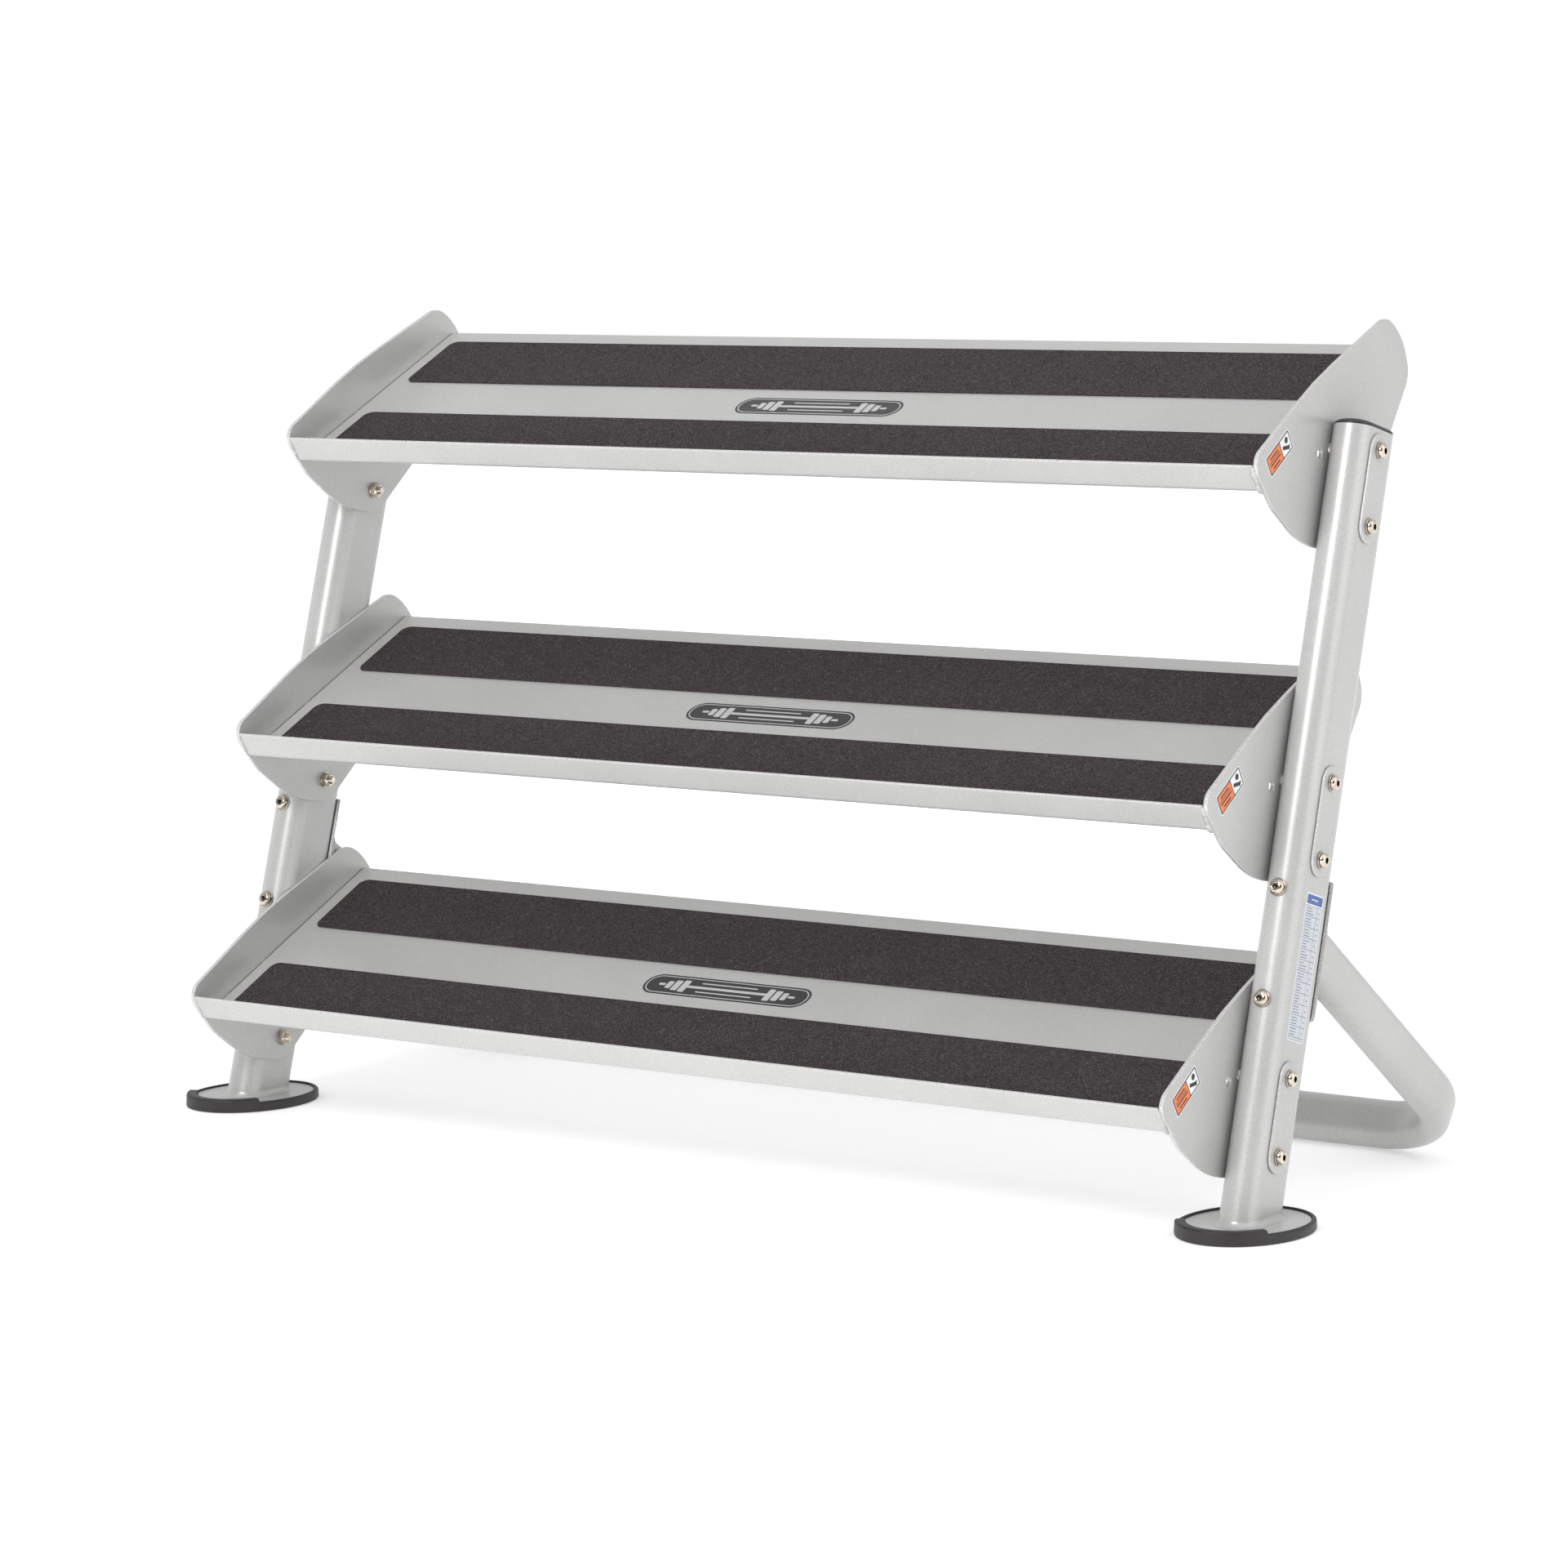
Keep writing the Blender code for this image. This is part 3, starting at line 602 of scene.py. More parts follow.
# ---------- uprights, caps and feet
PLUG_DEPTH = 0.018  # the cap's plug inside the tube
CAP_EDGE = 0.0012  # its straight edge, and the dome above that
CAP_DOME = 0.0064
FOOT_WELD = 0.0068
FOOT_WELD_WAVES = 90  # to a metre
TOE_BLEND = 0.0022  # the boot's step up to its toe
BOOT_LIP = 0.0030  # radius of the boot's rounded lip
BOOT_INNER_REACH = 0.040  # its base and its floor are drawn this far in


def leaning_section(width, depth, level):
    """The upright's outline where a level plane cuts it, in the upright's axes."""
    outline = flat_oval(width, depth)
    return [(x, y, (level + y * sin(LEAN)) / cos(LEAN)) for x, y in outline]


def top_section(step, height):
    """The upright's outline, inset by a step, at a height where its top is cut."""
    section = flat_oval(UPRIGHT_WIDTH - 2 * step, UPRIGHT_DEPTH - 2 * step)
    return [(x, y, height + y * tan(TOP_TILT)) for x, y in section]


def build_upright(side, sign):
    """The tube, open at its top with an eased rim, and the domed cap plugged into it."""
    bm = new_mesh()
    bottom = leaning_section(UPRIGHT_WIDTH, UPRIGHT_DEPTH, FOOT_PLATE_TOP + GAP)
    rim = ((0.0, 0.0006), (0.00018, 0.00018), (0.0006, 0.0),
           (UPRIGHT_WALL - 0.0004, 0.0), (UPRIGHT_WALL, 0.0004))
    levels = (*rim, (UPRIGHT_WALL, PLUG_DEPTH + 0.001))
    loft(bm, [bottom] + [top_section(step, UPRIGHT_TOP - drop) for step, drop in levels],
         edges=range(2, len(rim) + 1))
    piece(f"upright_tube_{side}", bm, silver, [f"upright_{side}"], upright_frame(sign))

    bm = new_mesh()
    plug = UPRIGHT_WALL + 2 * GAP
    seat = UPRIGHT_TOP + GAP
    edge = 0.0006
    levels = [(plug, UPRIGHT_TOP - PLUG_DEPTH), (plug, seat), (0.0010, seat), (edge, seat + 0.0004)]
    for degrees in range(0, 90, 6):
        angle = radians(degrees)
        levels.append((edge + (UPRIGHT_WIDTH / 2 - edge) * (1 - cos(angle)),
                       seat + CAP_EDGE + CAP_DOME * sin(angle)))
    loft(bm, [top_section(step, height) for step, height in levels])
    cap = f"upright_cap_{side}"
    piece(f"tube_cap_{side}", bm, cap_plastic, [cap], upright_frame(sign))


def on_foot(step, turn):
    """(x, y) on the foot's ellipse, moved in by a step."""
    return (FOOT_HALF_X - step) * cos(turn), (FOOT_HALF_Y - step) * sin(turn)


def build_foot(side, sign):
    """Foot plate, the weld round the tube's base, and the rubber boot with its raised toe."""
    place = Matrix.Translation((sign * UPRIGHT_X, AXIS_Y - FOOT_FORWARD, 0))
    turns = [2 * pi * i / 120 for i in range(120)]
    bm = new_mesh()
    outline = [on_foot(BOOT_WALL + GAP, turn) for turn in turns]
    slab(bm, outline, FOOT_PLATE_BOTTOM, FOOT_PLATE_TOP, flat, roll=0.0012)
    piece(f"foot_disc_{side}", bm, silver, [f"foot_plate_{side}"], place)

    bm = new_mesh()
    rings = []
    for k in range(9):
        turn = pi / 2 * k / 8
        spread, height = FOOT_WELD * (1 - sin(turn)), FOOT_WELD * (1 - cos(turn))
        level = FOOT_PLATE_TOP + height
        ring = []
        for x, y, rise in leaning_section(UPRIGHT_WIDTH + 2 * spread, UPRIGHT_DEPTH + 2 * spread, level):
            wave = noise.noise(Vector((x * FOOT_WELD_WAVES, y * FOOT_WELD_WAVES, sign * 3.0)))
            swell = 1 + 0.035 * wave * spread / FOOT_WELD
            back = on_upright(rise, y)[0] - AXIS_Y
            ring.append((sign * UPRIGHT_X + x * swell, AXIS_Y + back * swell, level + 0.0001))
        rings.append(ring)
    loft(bm, rings)
    piece(f"foot_weld_{side}", bm, silver_weld)

    # the boot: one profile carried round the ellipse, taller and wider ahead of the toe line
    edge_turns = set(turns)
    turn_at_toe = asin(TOE_START / FOOT_HALF_Y)
    for base in (turn_at_toe, pi - turn_at_toe):
        edge_turns |= {(base + 0.008 * k) % (2 * pi) for k in range(-8, 9)}
    order = sorted(edge_turns)
    profiles = []
    for turn in order:
        ahead = (TOE_START - FOOT_HALF_Y * sin(turn)) / TOE_BLEND + 0.5
        toe = max(0.0, min(1.0, ahead))
        toe = toe * toe * (3 - 2 * toe)
        top = BOOT_HEIGHT + (TOE_HEIGHT - BOOT_HEIGHT) * toe
        inner = BOOT_WALL + 0.0002 + TOE_OVERLAP * toe
        over = FOOT_PLATE_TOP + GAP
        points = [(BOOT_INNER_REACH, 0.0), (0.0018, 0.0), (0.0006, 0.0005),
                  (0.0, 0.0018), (0.0003, top - 0.0034)]
        points += [(0.0034 - BOOT_LIP * cos(a), top - BOOT_LIP + BOOT_LIP * sin(a))
                   for a in (radians(18 * k) for k in range(1, 6))]
        points += [(inner - 0.0010, top - 0.0002 * toe), (inner - 0.0003, top - 0.0004),
                   (inner, top - 0.0011), (inner, over),
                   (BOOT_WALL, over), (BOOT_WALL, BOOT_BASE), (BOOT_INNER_REACH, BOOT_BASE)]
        profiles.append(points)
    bm = new_mesh()
    rings = []
    for level in zip(*profiles):
        rings.append([(*on_foot(step, turn), height) for turn, (step, height) in zip(order, level)])
    loft(bm, rings)
    piece(f"rubber_boot_{side}", bm, boot_rubber, [f"foot_boot_{side}"], place)


# ---------- shelves
HOLD = 0.0010  # keeps the marks on the sheet's cut edges from spreading
LIP_WEAR_AND_HIGHLIGHT = 0.0012  # the marked top of the lip, painted paler: wear and a painted highlight
SEAM_RADIUS = 0.00052
BED_WELD = 0.0026  # radius of the bead under the bed


def held(outline, margin):
    """The outline with extra points close to both ends of its long straight runs."""
    points = []
    for point, following in zip(outline, outline[1:] + outline[:1]):
        points.append(point)
        along = Vector(following) - Vector(point)
        if along.length > 5 * margin:
            step = along.normalized() * margin
            points += [tuple(Vector(point) + step), tuple(Vector(following) - step)]
    return points


def tray_outline():
    """Section of the bent sheet: lip, bed and rear flange, in bed axes."""
    lean = tan(LIP_OPENING)
    lip_step = Vector((cos(LIP_OPENING), sin(LIP_OPENING))) * SHEET
    lip_top = Vector((TRAY_FRONT - (LIP_HEIGHT + SHEET) * lean, LIP_HEIGHT))
    lip_root = TRAY_FRONT - SHEET * lean + SHEET / cos(LIP_OPENING)
    outside = BEND_INSIDE + SHEET
    cut_edge = 0.0008
    corners = (
        (lip_top.x, lip_top.y, cut_edge),
        (TRAY_FRONT, -SHEET, outside),
        (TRAY_REAR - SHEET, -SHEET, BEND_INSIDE),
        (TRAY_REAR - SHEET, -REAR_FLANGE, cut_edge),
        (TRAY_REAR, -REAR_FLANGE, cut_edge),
        (TRAY_REAR, 0.0, outside),
        (lip_root, 0.0, BEND_INSIDE),
        (lip_top.x + lip_step.x, lip_top.y + lip_step.y, cut_edge),
    )
    return held(rounded(corners, radians(10)), HOLD)


def build_tray(tier):
    bm = new_mesh()
    half = SHELF_LENGTH / 2 - TRAY_END_GAP
    slab(bm, tray_outline(), -half, half, across, roll=0.0003, roll_steps=1)
    layer = bm.verts.layers.float["edge"]
    for vertex in bm.verts:
        # the lip's top and the flange's cut edge are marked: paler paint, partly wear and partly a painted
        # highlight
        worn_and_highlit = vertex.co.z > LIP_HEIGHT - LIP_WEAR_AND_HIGHLIGHT or vertex.co.z < -REAR_FLANGE + HOLD
        vertex[layer] = 1.0 if worn_and_highlit else 0.0
    piece(f"shelf_tray_{tier}", bm, silver, [f"tray_{tier}"], bed_frame(tier))


def build_mat(tier, place):
    low, high = MAT_SPANS[place]
    half = SHELF_LENGTH / 2 - MAT_END_MARGIN
    corners = [(x, y, MAT_CORNER) for x, y in ((-half, low), (half, low), (half, high), (-half, high))]
    bm = new_mesh()
    slab(bm, rounded(corners), GAP, GAP + MAT_THICKNESS, flat, roll=0.0006)
    piece(f"grip_{place}_{tier}", bm, mat_grit, [f"mat_{place}_{tier}"], bed_frame(tier))


def build_end_plate(tier, side, sign):
    bm = new_mesh()
    holes = [circle(centre, SPARE_HOLE_RADIUS) for centre in SPARE_HOLES]
    centre = sign * (PLATE_X + PLATE_THICKNESS / 2)
    slab(bm, rounded(PLATE_CORNERS, radians(4)), centre - PLATE_THICKNESS / 2,
         centre + PLATE_THICKNESS / 2, across, holes, roll=0.0009)
    node = f"end_plate_{tier}_{side}"
    piece(f"shelf_end_{tier}_{side}", bm, silver, [node], tier_frame(tier))


def build_shelf_welds(tier, side, sign):
    """Weld under the bed and up the lip, and a dark strip in the gap beside the bed: painted shade."""
    at = sign * (SHELF_LENGTH / 2 - 0.0006)
    reference = Vector((0, 0, 1))
    seed = seed_of(tier, side)
    bm = new_mesh()
    lean = tan(LIP_OPENING)
    under = [(at, y, -SHEET - 0.0014) for y in (TRAY_REAR - 0.012, TRAY_FRONT + 0.010)]
    bead(bm, under, BED_WELD, reference, seed=seed)
    lip = [(at, TRAY_FRONT + 0.012, -SHEET - 0.0003), (at, TRAY_FRONT + 0.004, -SHEET + 0.0002),
           (at, TRAY_FRONT - 0.0002, 0.0015), (at, TRAY_FRONT - 0.0145 * lean, 0.0115),
           (at, TRAY_FRONT - (LIP_HEIGHT + SHEET - 0.002) * lean, LIP_HEIGHT - 0.001)]
    bead(bm, lip, LIP_WELD[side], Vector((1, 0, 0)), rough=0.45, seed=seed + 5)
    piece(f"shelf_weld_{tier}_{side}", bm, silver_weld, (), bed_frame(tier))

    # dark strip in the gap between tray and end plate: painted shade
    bm = new_mesh()
    at = sign * (SHELF_LENGTH / 2 - TRAY_END_GAP / 2)
    front = TRAY_FRONT + 0.004
    runs = ((front, front + 0.034), (front + 0.050, front + 0.120), (front + 0.128, TRAY_REAR - 0.006))
    for low, high in runs:
        bead(bm, [(at, low, -0.0003), (at, high, -0.0003)], SEAM_RADIUS, reference, rough=0.10, pitch=0.011,
             seed=seed + low * 40, sides=8)
    piece(f"shelf_gap_shade_{tier}_{side}", bm, seam_painted_shade, (), bed_frame(tier))


def seed_of(tier, side):
    """A small fixed number for each shelf end, so that no two welds are alike."""
    return 3.7 * list(TIERS).index(tier) + 1.9 * (1 + SIDES[side])


def build_strap(tier, side, sign):
    low, high = (TIERS[tier] + rise for rise in BOLT_RISES.values())
    radius = STRAP_WIDTH / 2
    outline = arc(pi, 2 * pi, (-BOLT_FORWARD, low), radius)
    outline += arc(0, pi, (-BOLT_FORWARD, high), radius)
    inner = sign * (UPRIGHT_WIDTH / 2 + GAP)
    outer = inner + sign * STRAP_THICKNESS
    bm = new_mesh()
    slab(bm, outline, min(inner, outer), max(inner, outer), across, roll=0.0014)
    node = f"strap_{tier}_{side}"
    piece(f"side_strap_{tier}_{side}", bm, silver, [node], upright_frame(sign))


# ---------- fasteners
def washer(bm, matrix):
    bore = SHANK_RADIUS + 0.0002
    chamfer = 0.00035
    low, high = WASHER_THICKNESS - chamfer, WASHER_THICKNESS
    profile = ((bore, 0.0, 0), (WASHER_RADIUS - chamfer, 0.0, 0), (WASHER_RADIUS, chamfer, 0),
               (WASHER_RADIUS, low, 0), (WASHER_RADIUS - chamfer, high, 0), (bore + chamfer, high, 0),
               (bore, low, 0))
    # the marked rings get painted shade on zinc
    turned(bm, profile, True, matrix=matrix, edges=(1, 5, 6))


def button_head(bm, matrix):
    """Domed head with a chamfered hexagon socket; its underside rests on the washer."""
    base = WASHER_THICKNESS
    top = base + HEAD_HEIGHT
    skirt = 0.0010
    profile = [(SHANK_RADIUS - 0.0006, base, 0), (HEAD_RADIUS - 0.0004, base, 0),
               (HEAD_RADIUS, base + 0.0004, 0), (HEAD_RADIUS, base + skirt, 0)]
    flat_radius = 0.0046
    for k in range(1, 9):
        turn = pi / 2 * k / 8
        profile.append((flat_radius + (HEAD_RADIUS - flat_radius) * cos(turn),
                        base + skirt + (HEAD_HEIGHT - skirt) * sin(turn), 0))
    rim = SOCKET_APOTHEM + 0.0008
    floor = top - SOCKET_DEPTH
    profile += [(rim, top - 0.00005, 0.3), (SOCKET_APOTHEM, top - 0.0006, 1),
                (SOCKET_APOTHEM, floor, 1), (SOCKET_APOTHEM * 0.5, floor - 0.0008, 0)]
    last = len(profile) - 1
    # the marked rings under the head and in the socket get painted shade on zinc
    turned(bm, profile, matrix=matrix, edges=(0, 1, 2, last - 2, last - 1, last))


def shank(bm, matrix, length, tip):
    """Bolt shank down to -length, with thread turns on the last stretch."""
    profile = [(SHANK_RADIUS - 0.0008, 0.0014, 0), (SHANK_RADIUS - 0.0002, 0.0004, 0)]
    pitch = 0.0015
    start = -(length - tip - 0.004)
    profile.append((SHANK_RADIUS - 0.0002, start, 0))
    turns = int((length + start - 0.0010) / pitch)
    for k in range(turns):
        z = start - k * pitch
        profile += [(SHANK_RADIUS - 0.0009, z - pitch * 0.35, 0),
                    (SHANK_RADIUS - 0.0001, z - pitch * 0.85, 0)]
    profile += [(SHANK_RADIUS - 0.0004, -length + 0.0008, 0), (SHANK_RADIUS - 0.0013, -length, 0)]
    turned(bm, profile, segments=32, matrix=matrix)


def lock_nut(bm, matrix):
    """Hexagon lock nut with chamfered corners and its rounded collar."""
    base = WASHER_THICKNESS
    top = base + NUT_HEIGHT
    apothem = NUT_APOTHEM
    bore = SHANK_RADIUS + 0.0001
    profile = ((bore, base, 0), (apothem * 0.97, base, 0), (apothem, base + 0.0007, 1),
               (apothem, top - 0.0030, 1), (apothem * 0.985, top - 0.0022, 0.15),
               (apothem * 0.90, top - 0.0020, 0), (apothem * 0.86, top - 0.0007, 0),
               (apothem * 0.78, top, 0), (SHANK_RADIUS + 0.0004, top, 0), (bore, top - 0.0004, 0))
    turned(bm, profile, True, matrix=matrix)


def build_shelf_fasteners(tier, side, sign):
    """Bolts and nuts of one shelf end, each turned by an angle of its own."""
    for place, rise in BOLT_RISES.items():
        y, z = on_upright(TIERS[tier] + rise, -BOLT_FORWARD)
        name = f"{tier}_{side}_{place}"
        spin = Matrix.Rotation(37 * seed_of(tier, side) + rise * 90, 4, "Z")
        facing = Matrix.Rotation(sign * pi / 2, 4, "Y")
        out = Matrix.Translation((sign * BOLT_SEAT_X, y, z)) @ facing @ spin
        bm = new_mesh()
        washer(bm, out)
        button_head(bm, out)
        shank(bm, out, BOLT_SEAT_X - NUT_SEAT_X + NUT_STACK + BOLT_TIP, BOLT_TIP + NUT_STACK)
        piece(f"button_bolt_{name}", bm, zinc, [f"shelf_bolt_{name}"])
        facing = Matrix.Rotation(-sign * pi / 2, 4, "Y")
        inward = Matrix.Translation((sign * NUT_SEAT_X, y, z)) @ facing @ spin
        bm = new_mesh()
        washer(bm, inward)
        lock_nut(bm, inward)
        piece(f"lock_nut_{name}", bm, zinc, [f"shelf_nut_{name}"])


def build_frame_screws(side, sign):
    front = -(UPRIGHT_DEPTH / 2 + GAP)
    length = ROUND_CENTRE + SADDLE_OUTSIDE + WELD_NUT_HEIGHT + BOLT_TIP - front
    for place, offset in SCREW_OFFSETS.items():
        y, z = on_upright(SADDLE_RISE + offset, front)
        facing = Matrix.Rotation(pi / 2 - LEAN, 4, "X") @ Matrix.Rotation(offset * 9 + sign, 4, "Z")
        matrix = Matrix.Translation((sign * UPRIGHT_X, y, z)) @ facing
        bm = new_mesh()
        washer(bm, matrix)
        button_head(bm, matrix)
        shank(bm, matrix, length, BOLT_TIP)
        name = f"{side}_{place}"
        piece(f"front_screw_{name}", bm, zinc, [f"frame_screw_{name}"])


# ---------- rear frame
NUT_WELD = 0.0022  # radius of the bead round a weld nut
LEG_WELD = 0.0034  # and round a leg's end
LEG_SUNK = 0.0008  # how far a leg's end is let into its saddle's outer face


def build_saddle(side, sign):
    """Curved plate with rounded corners behind the upright, and its two welded nuts."""
    corner = 0.007
    half = (SADDLE_ABOVE + SADDLE_BELOW) / 2
    middle = SADDLE_RISE + (SADDLE_ABOVE - SADDLE_BELOW) / 2
    roll = 0.0007
    reach = SADDLE_INSIDE * SADDLE_WRAP
    steps = [0.0, 0.0004, 0.0012, 0.0024, 0.0042, corner]
    arcs = [reach - s for s in steps]
    arcs += [arcs[-1] * (1 - k / 10) for k in range(1, 10)]
    arcs = [-a for a in arcs] + [0.0] + arcs[::-1]
    arcs = sorted(set(round(a, 7) for a in arcs))
    rings, marked = [], []
    for number, along in enumerate(arcs):
        cut = max(0.0, corner - (reach - abs(along)))
        end = half - corner + sqrt(max(0.0, corner ** 2 - cut ** 2))
        angle = pi / 2 + along / SADDLE_INSIDE
        thin = 0.0005 if abs(along) > reach - 0.0002 else 0.0
        spring = SADDLE_SPRING * (1 - sin(angle)) / (1 - cos(SADDLE_WRAP))
        lower = [(SADDLE_INSIDE + thin, -end + roll), (SADDLE_INSIDE + roll, -end),
                 (SADDLE_OUTSIDE - roll, -end), (SADDLE_OUTSIDE - thin, -end + roll)]
        ring = []
        for radius, z in lower + [(radius, -z) for radius, z in reversed(lower)]:
            reached = radius + spring
            ring.append((reached * cos(angle), ROUND_CENTRE + reached * sin(angle), middle + z))
        rings.append(ring)
        if thin:
            marked.append(number)
    bm = new_mesh()
    loft(bm, rings, edges=marked)
    for offset in SCREW_OFFSETS.values():
        sunk = 0.0012
        seat = Matrix.Translation((0, ROUND_CENTRE + SADDLE_OUTSIDE - sunk, SADDLE_RISE + offset))
        facing = seat @ Matrix.Rotation(-pi / 2, 4, "X")
        height = WELD_NUT_HEIGHT + sunk
        bore = SHANK_RADIUS + 0.0001
        profile = ((bore, 0.0, 0), (NUT_APOTHEM, 0.0, 1), (NUT_APOTHEM, height - 0.0008, 1),
                   (NUT_APOTHEM * 0.97, height, 0), (SHANK_RADIUS + 0.0006, height, 0),
                   (bore, height - 0.0006, 0))
        turned(bm, profile, True, matrix=facing)
    piece(f"saddle_{side}", bm, silver, [f"saddle_plate_{side}"], upright_frame(sign))

    bm = new_mesh()
    for number, offset in enumerate(SCREW_OFFSETS.values()):
        middle = Vector((0, ROUND_CENTRE + SADDLE_OUTSIDE + 0.0006, SADDLE_RISE + offset))
        ring = [middle + Vector((x, -x * x / (2 * SADDLE_OUTSIDE), z))
                for x, z in circle((0, 0), NUT_APOTHEM + 0.0014, 48)]
        bead(bm, ring, NUT_WELD, Vector((0, 1, 0)), closed=True, rough=0.35, seed=number * 3 + sign)
    piece(f"nut_weld_{side}", bm, silver_weld, (), upright_frame(sign))


def rear_path():
    """Centre line of the rear tube: (point, sideways direction) from the right leg to the left."""
    down = Vector((0, cos(REAR_SLOPE), -sin(REAR_SLOPE)))
    out = Vector((1, 0, 0))
    top = Vector((UPRIGHT_X, *on_upright(LEG_RISE, ROUND_CENTRE + SADDLE_OUTSIDE)))
    floor_height = (REAR_TUBE_DEPTH - REAR_TUBE_WIDTH) / 2 * cos(REAR_SLOPE) + REAR_TUBE_WIDTH / 2
    leg = (top.z - floor_height) / sin(REAR_SLOPE)
    bend_centre = top + down * (leg - REAR_BEND) - out * REAR_BEND
    right = [(top, out)]
    for i in range(19):
        angle = pi / 2 * i / 18
        direction = out * cos(angle) + down * sin(angle)
        right.append((bend_centre + direction * REAR_BEND, direction))
    mirror = Vector((-1, 1, 1))
    return right + [(p * mirror, d * mirror) for p, d in reversed(right)], down


def cope(point, down, stand_off=0.0):
    """Slide a point along the leg until it rests on the curved saddle."""
    beside = abs(point.x) - UPRIGHT_X
    radius = SADDLE_OUTSIDE + stand_off
    target = ROUND_CENTRE + sqrt(radius ** 2 - beside ** 2)
    back = (point.y - AXIS_Y) * cos(LEAN) - point.z * sin(LEAN)
    along = down.y * cos(LEAN) - down.z * sin(LEAN)
    return point + down * ((target - back) / along)


def build_rear_frame():
    """The bent tube, its ends shaped to the saddles, and the welds round them."""
    path, down = rear_path()
    square = Vector((0, sin(REAR_SLOPE), cos(REAR_SLOPE)))
    step = radians(7.5)
    section = flat_oval(REAR_TUBE_WIDTH, REAR_TUBE_DEPTH, step)
    rings = [[point + direction * a + square * b for a, b in section] for point, direction in path]
    for end in (0, -1):
        rings[end] = [cope(point, down, -LEG_SUNK) for point in rings[end]]
    bm = new_mesh()
    loft(bm, rings)
    piece("rear_tube", bm, silver, ["rear_frame"])
    for side, sign in SIDES.items():
        bm = new_mesh()
        ends = flat_oval(REAR_TUBE_WIDTH + 0.0016, REAR_TUBE_DEPTH + 0.0016, step)
        point, direction = path[0] if sign > 0 else path[-1]
        ring = [cope(point + direction * a + square * b, down, 0.0009) for a, b in ends]
        bead(bm, ring, LEG_WELD, down, closed=True, rough=0.30, seed=4 + sign)
        piece(f"leg_weld_{side}", bm, silver_weld)


# ---------- stickers, none with lettering
FILM = 0.00016  # thickness of the vinyl, and of each layer of ink on it
INK = 0.00003
INK_SINK = 0.00001  # how far each layer reaches into the one below, and its rolled edge


def framed(origin, along, up):
    """Axes for a sticker: x along it, y up it, z away from its seat."""
    away = Vector(along).cross(Vector(up))
    return Matrix.Translation(origin) @ Matrix((along, up, away)).transposed().to_4x4()


def film(bm, outline, material, layer):
    """One printed patch on a sticker, layer 0 being the film itself."""
    low = FILM + INK * (layer - 1) - INK_SINK if layer else 0.0
    slab(bm, outline, low, FILM + INK * layer, flat, roll=INK_SINK, material=material, roll_steps=1)


def spun(outline, centre, turn):
    """An outline turned about its origin and moved to a centre."""
    return [(centre[0] + a * cos(turn) - b * sin(turn),
             centre[1] + a * sin(turn) + b * cos(turn)) for a, b in outline]


def build_caution_sticker(tier, side, sign):
    """Orange and white sticker on an end plate's outer face."""
    rise = radians(33)
    along = (0, cos(rise), sin(rise))
    up = (0, -sign * sin(rise), sign * cos(rise))
    seat = (sign * (PLATE_X + PLATE_THICKNESS), -0.0975, 0.1655)
    matrix = tier_frame(tier) @ framed(seat, along, up)
    bm = new_mesh()
    film(bm, rectangle(0.0295, 0.0128, 0.0028), 0, 0)
    film(bm, rectangle(0.0284, 0.0117, 0.0020), 1, 1)
    film(bm, rectangle(0.0156, 0.0100, 0.0008, (-0.0111, 0)), 2, 2)
    film(bm, rectangle(0.0104, 0.0100, 0.0008, (0.0163, 0)), 0, 2)
    for level, reach in ((0.0054, 0.0100), (-0.0016, 0.0128), (-0.0066, 0.0085)):
        film(bm, rectangle(reach, 0.0010, 0.0004, (-0.0111, level)), 1, 3)
    film(bm, rectangle(0.0130, 0.0006, 0.0002, (-0.0111, 0.0018)), 1, 3)
    film(bm, circle((0.0196, 0.0040), 0.0037, 24), 1, 3)
    film(bm, spun(rectangle(0.0072, 0.0022, 0.0010), (0.0150, -0.0030), radians(-28)), 1, 3)
    film(bm, spun(rectangle(0.0030, 0.0012, 0.0006), (0.0216, -0.0062), radians(40)), 1, 3)
    name = f"caution_sticker_{tier}_{side}"
    piece(name, bm, [film_white, film_dark, film_orange], (), matrix)


def build_notice_sticker():
    """Tall sticker on the right upright's flat side: a blue heading block over ruled rows."""
    random.seed(11)
    low, high = 0.2110, 0.3755
    half, width = (high - low) / 2, 0.0193
    matrix = upright_frame(1) @ framed((UPRIGHT_WIDTH / 2, -0.0006, (low + high) / 2), (0, 1, 0), (0, 0, 1))
    bm = new_mesh()
    film(bm, rectangle(width, half, 0.0020), 0, 0)
    heading, body = (0, half - 0.0066), (0, -0.0060)
    film(bm, rectangle(width - 0.0014, 0.0052, 0.0010, heading), 1, 1)
    film(bm, rectangle(0.0075, 0.0008, 0.0004, heading), 3, 2)
    film(bm, rectangle(width - 0.0014, half - 0.0072, 0.0008, body), 2, 1)
    film(bm, rectangle(width - 0.0020, half - 0.0078, 0.0006, body), 3, 2)
    film(bm, rectangle(0.00030, half - 0.0078, 0.0001, (0.0075, -0.0060)), 2, 3)
    level = half - 0.0165
    row = 0
    while level > -half + 0.0035:
        if row % 4 == 3:
            film(bm, rectangle(width - 0.0018, 0.00034, 0.00010, (0, level)), 2, 3)
        else:
            reach = random.uniform(0.0045, 0.0085)
            film(bm, rectangle(reach, 0.00050, 0.00020, (-width + 0.0036 + reach, level)), 2, 3)
            if row % 4 == 1:
                film(bm, rectangle(0.0014, 0.00050, 0.0003, (0.0125, level)), 4, 3)
        level -= 0.0032 if row % 4 != 2 else 0.0026
        row += 1
    materials = [film_white, film_blue, film_grey, film_pale, film_dark]
    piece("notice_sticker", bm, materials, (), matrix)


# (distance from the middle, half width, half height) of the discs on the badge's long dumbbell
DISCS = (
    (0.0610, 0.0045, 0.0118),
    (0.0722, 0.0045, 0.0100),
    (0.0828, 0.0038, 0.0072),
    (0.0930, 0.0048, 0.0022),            # the bar's own end
)


